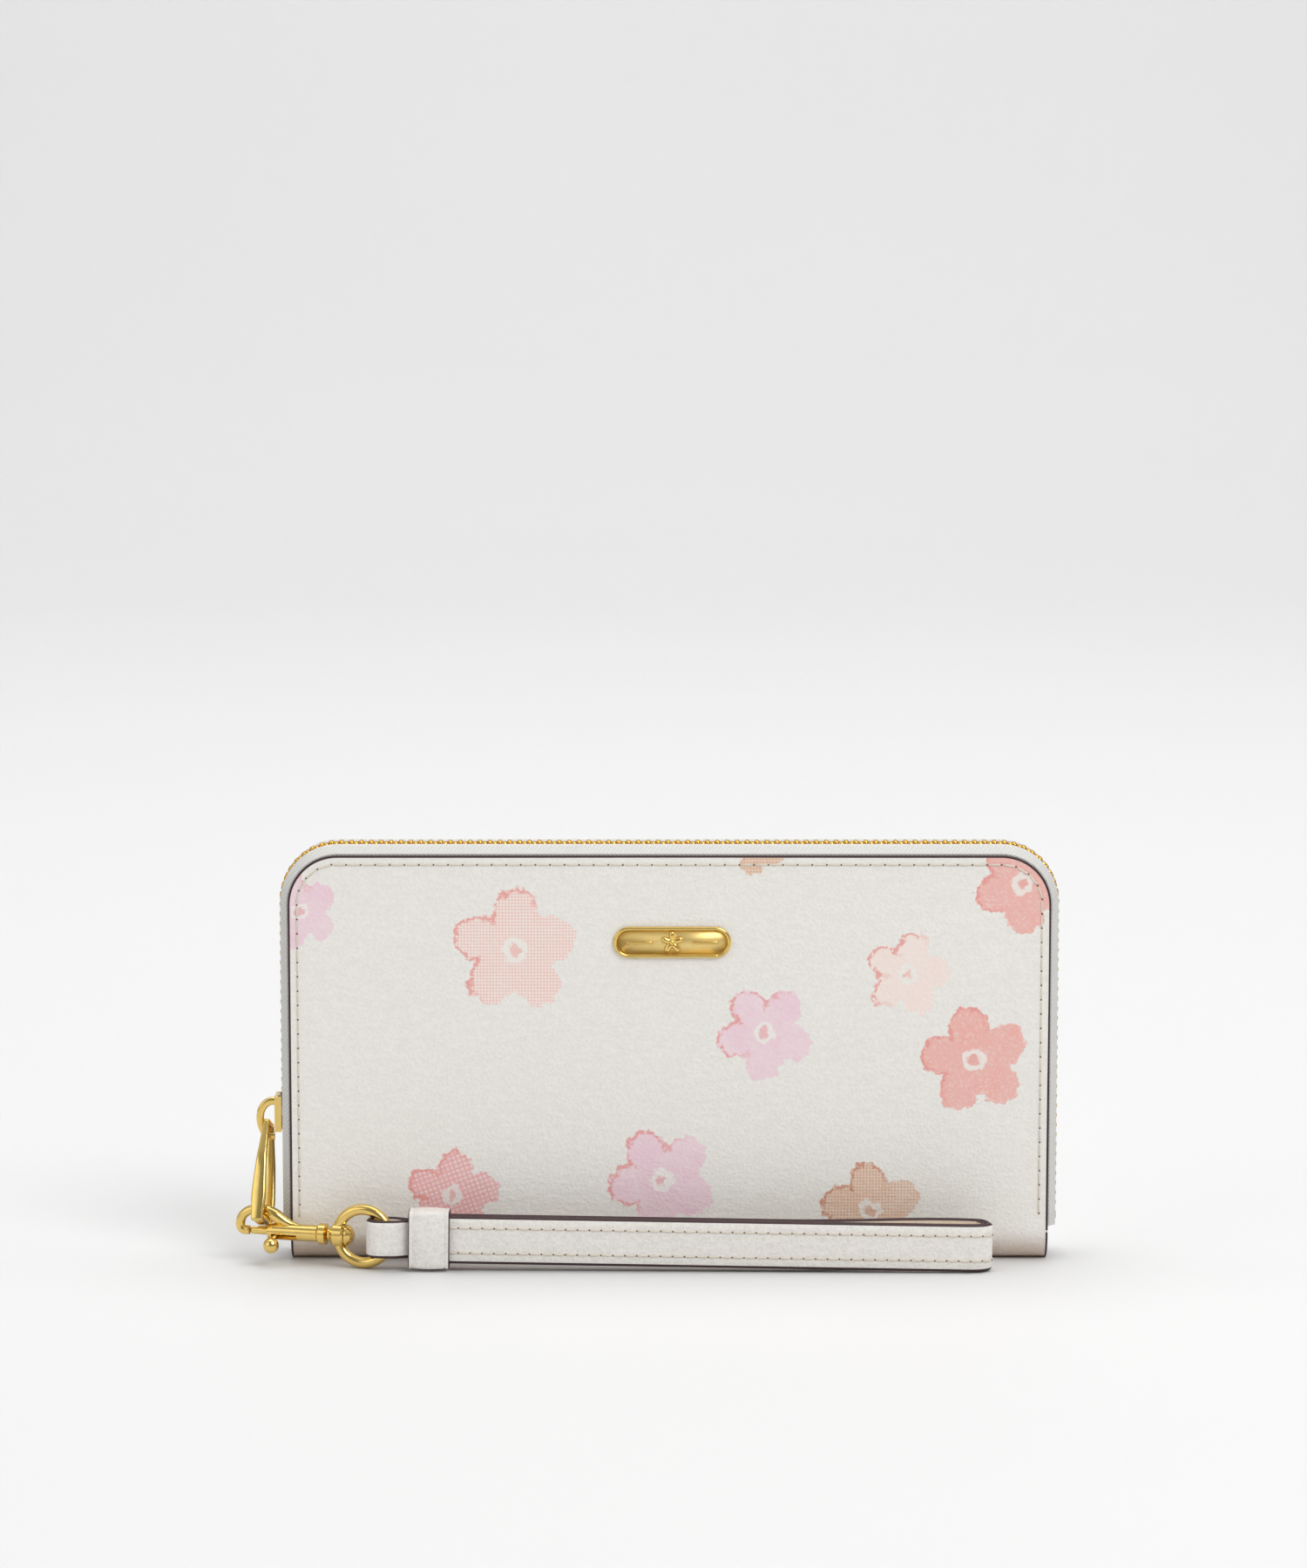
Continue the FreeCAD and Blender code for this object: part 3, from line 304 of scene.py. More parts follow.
def hatching(nodes, place, pitch):
    """Crossed print lines."""
    split = nodes.add("ShaderNodeSeparateXYZ")
    nodes.feed(split.inputs[0], place)
    turns = math.tau / pitch
    lines = []
    for across, upward in ((1.0, 0.35), (-0.35, 1.0)):
        slanted = nodes.math("MULTIPLY_ADD", split.outputs["X"], across,
                             nodes.math("MULTIPLY", split.outputs["Z"], upward))
        lines.append(nodes.step(nodes.math("SINE", nodes.math("MULTIPLY", slanted, turns)), 0.35, 0.75))
    return nodes.math("MAXIMUM", *lines)


def near(nodes, point, x, z, radius, soft=0.3):
    """One within radius of a place on the panel."""
    away = nodes.add("ShaderNodeVectorMath", operation="MULTIPLY_ADD")
    nodes.feed(away.inputs[0], point)
    away.inputs[1].default_value = (1.0, 0.0, 1.0)
    away.inputs[2].default_value = (-x, 0.0, -z)
    length = nodes.add("ShaderNodeVectorMath", operation="LENGTH")
    nodes.feed(length.inputs[0], away.outputs[0])
    return nodes.math("SUBTRACT", 1.0, nodes.step(length.outputs["Value"], radius - soft, radius + soft))


def wandering(nodes, place, scale, reach):
    """The place pushed about softly, so that nothing printed has a ruled edge."""
    drift = nodes.add("ShaderNodeTexNoise")
    nodes.feed(drift.inputs["Vector"], place)
    drift.inputs["Scale"].default_value = scale
    drift.inputs["Detail"].default_value = 3.0
    centred = nodes.add("ShaderNodeVectorMath", operation="SUBTRACT")
    nodes.feed(centred.inputs[0], drift.outputs["Color"])
    centred.inputs[1].default_value = (0.5, 0.5, 0.5)
    wander = nodes.add("ShaderNodeVectorMath", operation="MULTIPLY_ADD")
    nodes.feed(wander.inputs[0], centred.outputs[0])
    wander.inputs[1].default_value = (reach, 0.0, reach)
    nodes.feed(wander.inputs[2], place)
    return wander.outputs[0]


def printed_canvas(name, prints):
    """Cream coated canvas printed with plain flowers in washes, printer's dots and crossed lines, with
    painted shade and warm painted reflection low on its base curve.
    """
    material, nodes, shader = new_material(name)
    place = nodes.millimetres()
    height, normal = grain(nodes, place, 0.5)
    point = wandering(nodes, place, 0.42, 4.2)
    dots, mesh = lattice(nodes, place, 0.8, 0.05), hatching(nodes, place, 1.25)
    wash = nodes.step(nodes.noise(place, 0.16, 4.0, 0.6), 0.35, 0.65)
    speck = nodes.step(nodes.noise(place, 1.5, 2.0, 0.7), 0.52, 0.66)
    colour = nodes.mix(nodes.step(height, 0.5, 1.3), tuple(c * 0.93 for c in CREAM), CREAM)
    split = nodes.add("ShaderNodeSeparateXYZ")
    nodes.feed(split.inputs[0], point)
    group = lobe_group()
    for pattern, fill, line, middle, lobes, marks in prints:
        outside = None
        for x, z, half_width, half_height, lean in lobes:
            lobe = nodes.add("ShaderNodeGroup", node_tree=group)
            nodes.feed(lobe.inputs["Point"], point)
            for socket, value in (("X", x), ("Z", z), ("Half width", half_width),
                                  ("Half height", half_height), ("Cosine", math.cos(lean)),
                                  ("Sine", math.sin(lean))):
                lobe.inputs[socket].default_value = value
            far = lobe.outputs["Outside"]
            outside = far if outside is None else nodes.math("SMOOTH_MIN", outside, far, 1.4)
        inside = nodes.math("SUBTRACT", 1.0, nodes.step(outside, -0.25, 0.2), clamp=True)
        tint = nodes.mix(wash, fill, nodes.mix(0.3, fill, CREAM))
        if pattern == "dots":
            tint = nodes.mix(nodes.math("MULTIPLY", dots, 0.45), tint, line)
        if pattern == "hatch":
            tint = nodes.mix(nodes.math("MULTIPLY", mesh, 0.62), tint, line)
        if pattern == "solid":
            tint = nodes.mix(nodes.math("MULTIPLY", wash, 0.35), tint, line)
            tint = nodes.mix(nodes.math("MULTIPLY", speck, 0.3), tint, CREAM)
        leftward = nodes.math("MULTIPLY", nodes.math("SUBTRACT", split.outputs["X"], middle[0]), -0.85)
        above = nodes.math("SUBTRACT", split.outputs["Z"], middle[1])
        lit = nodes.math("MULTIPLY_ADD", above, 0.5, leftward)
        rim = nodes.math("MULTIPLY", nodes.step(outside, -1.25, -0.55), nodes.step(lit, -2.0, 5.0))
        rim = nodes.math("MULTIPLY", rim, nodes.step(nodes.noise(place, 0.9, 2.0), 0.36, 0.5))
        tint = nodes.mix(nodes.math("MULTIPLY", rim, 0.8), tint, line)
        for x, z, radius, dark in marks:
            shade = nodes.mix(0.5, line, fill) if dark else CREAM
            strength = nodes.math("MULTIPLY", near(nodes, point, x, z, radius), 0.85)
            tint = nodes.mix(strength, tint, shade)
        colour = nodes.mix(nodes.math("MULTIPLY", inside, 0.95), colour, tint)
    # Painted shade and warm painted reflection: below 9 mm the canvas is tinted tan, as where its base
    # curves under away from the light.
    low = nodes.add("ShaderNodeSeparateXYZ")
    nodes.feed(low.inputs[0], place)
    shade = nodes.math("SUBTRACT", 1.0, nodes.step(low.outputs["Z"], 0.5, 9.0))
    colour = nodes.mix(nodes.math("MULTIPLY", shade, 0.75), colour, srgb(204, 178, 158))
    nodes.feed(shader.inputs["Base Color"], colour)
    nodes.feed(shader.inputs["Roughness"], nodes.math("MULTIPLY_ADD", height, 0.12, 0.42))
    nodes.feed(shader.inputs["Normal"], normal)
    return material


# ---------------------------------------------------------------- materials

PRINT_FRONT = printed_canvas("printed_canvas_front", FRONT_PRINTS)
PRINT_BACK = printed_canvas("printed_canvas_back", BACK_PRINTS)
STRAP_SKIN = leather("strap_skin", srgb(238, 234, 228))
STRAP_INSIDE = leather("strap_inside", srgb(232, 214, 192), 0.65, 0.3)
EDGE_PAINT = leather("edge_paint", srgb(58, 32, 34), 0.35, 0.15)
SLOT_SKIN = leather("slot_skin", srgb(222, 205, 186), 0.5, 0.35)
THREAD = cloth("thread", srgb(240, 232, 214), 0.35, 0.7)
# Painted shade: the needle holes are flat dark discs on the surface, with no hole cut.
HOLE_SHADE = leather("stitch_hole_shade", srgb(128, 98, 82), 0.8, 0.1)
TAPE = cloth("zip_tape_cloth", srgb(220, 219, 215), 0.55, 0.75, 0.3)
LINING = cloth("lining_cloth", srgb(214, 190, 166), 0.7, 0.8, 0.3)
BOARD = leather("stiff_board", srgb(170, 150, 120), 0.9, 0.3)
GOLD = metal("pale_gold", srgb(238, 205, 122), 0.14)
BRASS = metal("teeth_brass", srgb(216, 168, 70), 0.22)
SATIN = metal("satin_gold", srgb(240, 212, 140), 0.42)
STEEL = metal("spring_steel", srgb(190, 190, 192), 0.25)

# ---------------------------------------------------------------- mesh helpers


def new_object(name, points, faces, materials, face_material=None, smooth=True):
    """An object from points in millimetres."""
    mesh = bpy.data.meshes.new(name)
    mesh.from_pydata([tuple(c * MM for c in point) for point in points], [], faces)
    for material in materials:
        mesh.materials.append(material)
    if face_material is not None:
        mesh.polygons.foreach_set("material_index", face_material)
    mesh.polygons.foreach_set("use_smooth", [smooth] * len(mesh.polygons))
    mesh.update()
    made = bpy.data.objects.new(name, mesh)
    bpy.context.scene.collection.objects.link(made)
    return made


def settle(made):
    """Make an object's modifiers permanent."""
    graph = bpy.context.evaluated_depsgraph_get()
    mesh = bpy.data.meshes.new_from_object(made.evaluated_get(graph))
    made.modifiers.clear()
    made.data = mesh
    return made


def bevel(made, width, segments=2, material=-1):
    """Round an object's sharp edges."""
    cut = made.modifiers.new("round", "BEVEL")
    cut.width, cut.segments, cut.limit_method = width * MM, segments, "ANGLE"
    cut.angle_limit = math.radians(40)
    cut.material = material
    cut.harden_normals = False


def joined(name, pieces, body, replaces=()):
    """One object from (points, faces, material number) pieces, riding on a body."""
    points, faces, numbers, materials = [], [], [], []
    for piece_points, piece_faces, material in pieces:
        if material not in materials:
            materials.append(material)
        base = len(points)
        points += piece_points
        faces += [tuple(base + corner for corner in face) for face in piece_faces]
        numbers += [materials.index(material)] * len(piece_faces)
    made = new_object(name, points, faces, materials, numbers)
    finish(made, body, replaces)
    return made


def finish(made, body, replaces=()):
    """Tie a piece to its body and the nodes it stands for."""
    if body:
        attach(made, body)
    if replaces:
        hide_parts(*replaces)


def capsule(start, end, radius, sides=6, rise=2):
    """A short round-ended bar from start to end."""
    along = (end - start)
    length = along.length
    along.normalize()
    side = along.orthogonal().normalized()
    other = along.cross(side)
    rings = []
    for step in range(rise + 1):
        angle = math.pi / 2 * (1 - step / rise)
        rings.append((-math.sin(angle) * radius, math.cos(angle) * radius))
    for step in range(rise + 1):
        angle = math.pi / 2 * step / rise
        rings.append((length + math.sin(angle) * radius, math.cos(angle) * radius))
    points, faces = [], []
    for offset, width in rings:
        for turn in range(sides):
            angle = math.tau * turn / sides
            points.append(start + along * offset
                          + (side * math.cos(angle) + other * math.sin(angle)) * max(width, 0.001))
    for ring in range(len(rings) - 1):
        for turn in range(sides):
            following = (turn + 1) % sides
            faces.append((ring * sides + turn, ring * sides + following,
                          (ring + 1) * sides + following, (ring + 1) * sides + turn))
    return points, faces


def disc(centre, normal, radius, sides=8):
    """A small flat disc."""
    side = normal.orthogonal().normalized()
    other = normal.cross(side)
    points = [centre + (side * math.cos(math.tau * k / sides) + other * math.sin(math.tau * k / sides))
              * radius for k in range(sides)]
    return points, [tuple(range(sides))]


def tube(path, radii, sides=20):
    """A round bar along a path, closed at both ends."""
    points, faces = [], []
    previous = None
    for index, point in enumerate(path):
        ahead = path[min(index + 1, len(path) - 1)]
        behind = path[max(index - 1, 0)]
        along = (ahead - behind).normalized()
        side = along.orthogonal().normalized() if previous is None else (
            previous - along * previous.dot(along)).normalized()
        previous = side
        other = along.cross(side)
        for turn in range(sides):
            angle = math.tau * turn / sides
            points.append(point + (side * math.cos(angle) + other * math.sin(angle)) * radii[index])
    for ring in range(len(path) - 1):
        for turn in range(sides):
            following = (turn + 1) % sides
            faces.append((ring * sides + turn, ring * sides + following,
                          (ring + 1) * sides + following, (ring + 1) * sides + turn))
    faces.append(tuple(reversed(range(sides))))
    faces.append(tuple(range((len(path) - 1) * sides, len(path) * sides)))
    return points, faces


def loft(path, sizes, across, sides=16):
    """A rounded bar along a path. Each size is its width and its depth; the width runs one fixed way."""
    points, faces = [], []
    for index, point in enumerate(path):
        along = (path[min(index + 1, len(path) - 1)] - path[max(index - 1, 0)]).normalized()
        deep = along.cross(across).normalized()
        wide = deep.cross(along).normalized()
        width, depth = sizes[index]
        for k in range(sides):
            angle = math.tau * (k + 0.5) / sides
            x, y = math.cos(angle), math.sin(angle)
            points.append(point + wide * (math.copysign(abs(x) ** 0.55, x) * width / 2)
                          + deep * (math.copysign(abs(y) ** 0.55, y) * depth / 2))
    for ring in range(len(path) - 1):
        for k in range(sides):
            following = (k + 1) % sides
            faces.append((ring * sides + k, ring * sides + following, (ring + 1) * sides + following,
                          (ring + 1) * sides + k))
    faces.append(tuple(reversed(range(sides))))
    faces.append(tuple(range((len(path) - 1) * sides, len(path) * sides)))
    return points, faces


def smooth_path(points, steps=8):
    """A Catmull-Rom curve through the points."""
    result = []
    count = len(points)
    for index in range(count - 1):
        before = points[max(index - 1, 0)]
        start, end = points[index], points[index + 1]
        after = points[min(index + 2, count - 1)]
        for step in range(steps):
            t = step / steps
            result.append(0.5 * ((2 * start) + (end - before) * t
                                 + (2 * before - 5 * start + 4 * end - after) * t * t
                                 + (3 * start - before - 3 * end + after) * t ** 3))
    result.append(points[-1].copy())
    return result


def rim_points(inset, low_left, low_right, pitch):
    """Points and directions every pitch along the cover's edge, drawn in by inset."""
    half, top, bend = PANEL_HALF - inset, PANEL_TOP - inset, CORNER - inset
    sides = (top - bend - low_left, math.pi / 2 * bend, 2 * (half - bend), math.pi / 2 * bend,
             top - bend - low_right)
    total = sum(sides)
    count = int(total / pitch)
    result = []
    for index in range(count + 1):
        run = index * pitch
        if run < sides[0]:
            result.append((-half, low_left + run, 0.0, 1.0))
            continue
        run -= sides[0]
        if run < sides[1]:
            angle = math.pi - run / bend
            result.append((-half + bend + bend * math.cos(angle), top - bend + bend * math.sin(angle),
                           math.sin(angle), -math.cos(angle)))
            continue
        run -= sides[1]
        if run < sides[2]:
            result.append((-half + bend + run, top, 1.0, 0.0))
            continue
        run -= sides[2]
        if run < sides[3]:
            angle = math.pi / 2 - run / bend
            result.append((half - bend + bend * math.cos(angle), top - bend + bend * math.sin(angle),
                           math.sin(angle), -math.cos(angle)))
            continue
        run -= sides[3]
        result.append((half, top - bend - run, 0.0, -1.0))
    return result


# ---------------------------------------------------------------- covers


def top_at(x, inset=0.0):
    """The height of the cover's edge above x."""
    flat = PANEL_HALF - CORNER
    bend = CORNER - inset
    if abs(x) <= flat:
        return PANEL_TOP - inset
    reach = min(abs(x) - flat, bend)
    return PANEL_TOP - CORNER + math.sqrt(max(bend * bend - reach * reach, 0.0))


def cover_skin(name, sign, body, node, material):
    """A cover's canvas: flat above, curved under at its base, with a painted edge."""
    arc_end = math.pi / 2 if sign < 0 else math.pi / 4
    columns = sorted({-PANEL_HALF + k * 1.6 for k in range(121)} | {
        side * (PANEL_HALF - CORNER + CORNER * math.sin(math.pi / 2 * k / 16)) for side in (-1, 1)
        for k in range(17)})
    rows = 56
    points, faces = [], []
    for x in columns:
        top = top_at(x)
        for row in range(rows + 1):
            z = top + (BASE_RADIUS - top) * row / rows
            lean = 0.22 * math.sin(x * 0.045 + 1.3) * math.sin(z * 0.06 + 0.4)
            puff = 0.3 * (1 - (x / PANEL_HALF) ** 6) * math.sin(math.pi * min(z / PANEL_TOP, 1.0)) ** 0.6
            points.append(Vector((x, sign * (HALF_DEPTH + puff * 0.4 + lean * 0.4), z)))
        for step in range(1, 11):
            angle = arc_end * step / 10
            points.append(Vector((x, sign * (FOOT_HALF + BASE_RADIUS * math.cos(angle)),
                                  BASE_RADIUS - BASE_RADIUS * math.sin(angle))))
        if sign < 0:
            points.append(Vector((x, SEAM_Y, 0)))
    height = len(points) // len(columns)
    for column in range(len(columns) - 1):
        for row in range(height - 1):
            corner = column * height + row
            square = (corner, corner + 1, corner + height + 1, corner + height)
            faces.append(square if sign < 0 else tuple(reversed(square)))
    made = new_object(name, points, faces, [material, EDGE_PAINT])
    thick = made.modifiers.new("thickness", "SOLIDIFY")
    thick.thickness, thick.offset, thick.material_offset_rim = CANVAS * MM, -1, 1
    thick.use_even_offset = True
    bevel(made, 0.5, 3, 1)
    settle(made)
    finish(made, body, [node])


def spine_skin():
    """The canvas under the base, from the front panel's edge to the back hinge line."""
    points, faces = [], []
    columns = [-PANEL_HALF + k * 3.2 for k in range(61)]
    profile = [(SEAM_Y, 0.0), (0.0, 0.0), (FOOT_HALF, 0.0)]
    profile += [(FOOT_HALF + BASE_RADIUS * math.sin(a), BASE_RADIUS - BASE_RADIUS * math.cos(a))
                for a in [math.pi / 4 * k / 8 for k in range(1, 9)]]
    for x in columns:
        points += [Vector((x, y, z)) for y, z in profile]
    height = len(profile)
    for column in range(len(columns) - 1):
        for row in range(height - 1):
            corner = column * height + row
            faces.append((corner, corner + 1, corner + height + 1, corner + height))
    made = new_object("spine_canvas", points, faces, [PRINT_BACK, EDGE_PAINT])
    thick = made.modifiers.new("thickness", "SOLIDIFY")
    thick.thickness, thick.offset, thick.material_offset_rim = CANVAS * MM, -1, 1
    settle(made)
    finish(made, "shell", ["spine_panel"])


def painted_edge(name, sign, body):
    """The thick dark paint along a cover's cut edge, down both ends and round the curve of its base."""
    middle = sign * (HALF_DEPTH - 0.5)
    inset, paint, sheet = 0.22, 0.62, 1.2
    rim = [Vector((x, middle, z)) for x, z, _, _ in rim_points(inset, BASE_RADIUS, BASE_RADIUS, 1.0)]
    pieces = [(*loft(rim, [(sheet, paint)] * len(rim), Vector((0, 1, 0)), 12), EDGE_PAINT)]
    arc = math.pi / 2 if sign < 0 else math.pi / 4
    reach = BASE_RADIUS - 0.5
    for side in (-1, 1):
        curve = [Vector((side * (PANEL_HALF - inset), sign * (FOOT_HALF + reach * math.cos(arc * k / 12)),
                         BASE_RADIUS - reach * math.sin(arc * k / 12))) for k in range(13)]
        pieces.append((*loft(curve, [(paint, sheet)] * 13, Vector((1, 0, 0)), 12), EDGE_PAINT))
    joined(name, pieces, body)


def rim_stitching(name, sign, body):
    """Thread and needle holes round a cover, with none along its base; each hole is a dark disc of painted
    shade.
    """
    pieces = []
    face = sign * (HALF_DEPTH + 0.06)
    normal = Vector((0, sign, 0))
    for x, z, dx, dz in rim_points(2.25, 13.0, 13.0, 3.66):
        middle, along = Vector((x, face, z)), Vector((dx, 0, dz))
        pieces.append((*capsule(middle - along * 1.2, middle + along * 1.2, 0.26), THREAD))
        pieces.append((*disc(middle + along * 1.7 + normal * 0.12, normal, 0.26), HOLE_SHADE))
    joined(name, pieces, body)


# ---------------------------------------------------------------- zips


def tooth_block(middle, along, out, cross, size):
    """One tooth: a block with chamfered ends, size given along the chain, outward and across."""
    length, depth, width = (s / 2 for s in size)
    points, faces = [], []
    for reach, shrink in ((-width, 0.78), (-width * 0.8, 1.0), (width * 0.72, 1.0), (width, 0.6)):
        for a, b in ((-1, -0.55), (-0.55, -1), (0.55, -1), (1, -0.55), (1, 0.55), (0.55, 1), (-0.55, 1),
                     (-1, 0.55)):
            points.append(middle + along * (a * length * shrink) + out * (b * depth * shrink)
                          + cross * reach)
    for ring in range(3):
        for k in range(8):
            following = (k + 1) % 8
            faces.append((ring * 8 + k, ring * 8 + following, (ring + 1) * 8 + following,
                          (ring + 1) * 8 + k))
    faces.append(tuple(reversed(range(8))))
    faces.append(tuple(range(24, 32)))
    return points, faces


def main_teeth(name, sign, body, node):
    """The row of separate teeth along one zip tape."""
    pieces = []
    shift = 0.0 if sign < 0 else 1.25
    for x, z, dx, dz in rim_points(-1.7, 43.2 + shift, 12.6 + shift, 2.5):
        along, out = Vector((dx, 0, dz)), Vector((-dz, 0, dx))
        middle = Vector((x, sign * 1.15, z))
        pieces.append((*tooth_block(middle, along, out, Vector((0, -sign, 0)), (1.35, 1.6, 3.1)), BRASS))
    joined(name, pieces, body, [node])


def coin_teeth(name, sign, node):
    """A row of the coin pocket's teeth."""
    pieces = []
    x = -61.6 + (0.0 if sign < 0 else 0.9)
    while x < 75.0:
        middle = Vector((x, -1.0, 82.0 + sign * 0.75))
        pieces.append((*tooth_block(middle, Vector((1, 0, 0)), Vector((0, 1, 0)), Vector((0, 0, -sign)),
                                    (1.0, 1.1, 1.8)), BRASS))
        x += 1.8
    joined(name, pieces, "divider", [node])


# ---------------------------------------------------------------- hardware


def hook_point(x, y=0.0, z=0.0):
    """A point in the bolt snap's own frame, where x runs along its barrel."""
    cosine, sine = math.cos(HOOK_YAW), math.sin(HOOK_YAW)
    return HOOK_AT + Vector((x * cosine + y * sine, -x * sine + y * cosine, z))


def bow():
    """The snap's eye, drawn as one smooth swelling bar from the barrel's shoulder to its tip."""
    line = [(11.0, 1.2), (8.6, 1.5), (6.6, 2.2), (4.8, 3.2), (3.2, 4.3), (1.2, 5.2), (-1.2, 5.5),
            (-3.6, 5.0), (-5.3, 3.6), (-5.9, 1.9), (-5.7, 0.6), (-4.9, 0.05), (-3.3, 0.0)]
    path = smooth_path([hook_point(x, 0, z) for x, z in line], 6)
    radii = []
    for index in range(len(path)):
        share = index / (len(path) - 1)
        swell = 0.45 * math.exp(-((share - 0.3) / 0.14) ** 2)
        radii.append(1.2 + swell if share > 0.2 else 0.7 + share * 2.5 + swell)
    radii[-1] = 0.9
    joined("hook_bow_bar", [(*tube(path, radii, 20), GOLD)], "hook", ["hook_bow"])


def eased(values, steps):
    """Numbers eased between the given ones, to match a smoothed path of as many steps."""
    line = smooth_path([Vector(value) for value in values], steps)
    return [tuple(value) for value in line]


def bridge():
    """The D-shaped loop that carries the pull, with the slider's rounded crown behind it."""
    line = [(-99.6, 39.7), (-101.3, 39.7), (-102.8, 38.9), (-103.8, 37.3), (-104.1, 35.3), (-103.8, 33.3),
            (-103.0, 31.7), (-101.8, 30.7), (-100.4, 30.6)]
    sizes = [(2.0, 2.0), (1.9, 2.0), (1.8, 2.0), (1.7, 2.0), (1.6, 1.95), (1.6, 1.9), (1.7, 1.9),
             (1.8, 1.9), (1.9, 1.9)]
    path = smooth_path([Vector((x, 0, z)) for x, z in line], 5)
    piece = loft(path, eased(sizes, 5), Vector((0, 1, 0)))
    joined("slider_bridge_loop", [(*piece, GOLD)], "zip_slider", ["zip_slider_bridge"])
    crown = [(-99.4, 41.5), (-99.5, 40.9), (-99.5, 38.0), (-99.4, 35.0), (-99.2, 33.0), (-99.0, 32.3)]
    widths = [(6.8, 0.8), (7.8, 1.5), (7.6, 1.7), (6.8, 1.7), (5.6, 1.4), (4.4, 0.7)]
    path = smooth_path([Vector((x, 0, z)) for x, z in crown], 4)
    piece = loft(path, eased(widths, 4), Vector((0, 1, 0)), 20)
    joined("slider_crown", [(*piece, GOLD)], "zip_slider")


def pull_point(x, y, z):
    """A point in the pull's own frame, whose origin is the middle of its top bar."""
    return PULL_AT + PULL_TURN @ Vector((x, y, z))


def pull():
    """The stirrup: two legs that swell towards the foot, joined by a narrow top bar and a stout foot."""
    pieces = []
    thick = PULL_TURN @ Vector((1, 0, 0))
    for side in (-1, 1):
        line = [(2.35, 0.0), (2.75, -1.6), (3.9, -6.0), (4.8, -10.0), (5.05, -15.0), (5.05, -20.0),
                (5.05, -23.6), (5.0, -26.3)]
        sizes = [(1.5, 1.3), (1.7, 1.3), (2.1, 1.35), (2.6, 1.4), (3.2, 1.5), (3.7, 1.6),
                 (3.2, 1.6), (2.9, 1.5)]
        path = smooth_path([pull_point(0, side * y, z) for y, z in line], 4)
        pieces.append((*loft(path, eased(sizes, 4), thick), GOLD))
    for half, low, width, depth in ((2.9, 0.0, 1.5, 1.4), (5.4, -25.5, 2.5, 2.0)):
        path = [pull_point(0, y * half, low) for y in (-1, -0.9, -0.5, 0, 0.5, 0.9, 1)]
        sizes = [(width * 0.7, depth * 0.7)] + [(width, depth)] * 5 + [(width * 0.7, depth * 0.7)]
        pieces.append((*loft(path, sizes, thick), GOLD))
    joined("pull_stirrup", pieces, "zip_pull", ["zip_pull_loop"])


def emblem():
    """A plain rounded frame round a satin plate, with a five-petal rosette between two bars."""
    centre, front = Vector((0.7, -9.6, 82.1)), Vector((0, -1, 0))
    half_x, radius = 10.9, 3.5

    def outline(reach):
        line = []
        for middle, first in ((half_x, -90), (-half_x, 90)):
            for k in range(13):
                angle = math.radians(first + 15 * k)
                line.append(centre + Vector((middle + (radius + reach) * math.cos(angle), 0,
                                             (radius + reach) * math.sin(angle))))
        return line
    ring = outline(0.0)
    path = [*ring, ring[0], ring[1]]
    pieces = [(*tube([point + front * 0.35 for point in path], [0.5] * len(path), 12), GOLD)]
    plate = outline(0.1)
    size = len(plate)
    points = [point + front * depth for depth in (0.0, 0.3) for point in plate]
    faces = [(k, (k + 1) % size, size + (k + 1) % size, size + k) for k in range(size)]
    faces += [tuple(range(size, 2 * size))]
    pieces.append((points, faces, SATIN))
    for side in (-1, 1):
        start, end = (centre + Vector((side * x, -0.35, 0)) for x in (5.4, 11.2))
        pieces.append((*capsule(start, end, 0.45, 12, 4), GOLD))
    for petal in range(5):
        angle = math.radians(90 + 72 * petal)
        out = Vector((math.cos(angle), 0, math.sin(angle)))
        start, end = (centre + out * reach + front * 0.3 for reach in (1.0, 2.1))
        pieces.append((*capsule(start, end, 0.85, 12, 4), GOLD))
    pieces.append((*capsule(centre + front * 0.5, centre + front * 0.75, 0.8, 12, 4), GOLD))
    joined("emblem_badge", pieces, "shell", ["emblem_plate", "emblem_rosette"])


def spring():
    """The coil behind the gate bolt."""
    path = []
    for step in range(9 * 12 + 1):
        turn = math.tau * step / 12
        path.append(hook_point(9.3 + 6.0 * step / 108, 0.75 * math.cos(turn), 0.75 * math.sin(turn)))
    coil = (*tube(path, [0.16] * len(path), 6), STEEL)
    joined("bolt_coil", [coil], "hook", ["bolt_spring"])


# ---------------------------------------------------------------- the strap


def strap_point(x, y, z):
    """A point in the strap's own frame, whose origin is the ring wire it hangs on."""
    pin = hook_point(RING_PIN)
    cosine, sine = math.cos(STRAP_YAW), math.sin(STRAP_YAW)
    drop_cos, drop_sin = math.cos(STRAP_DROP), math.sin(STRAP_DROP)
    along, up = x * drop_cos + z * drop_sin, z * drop_cos - x * drop_sin
    return pin + Vector((along * cosine + y * sine, y * cosine - along * sine, up))


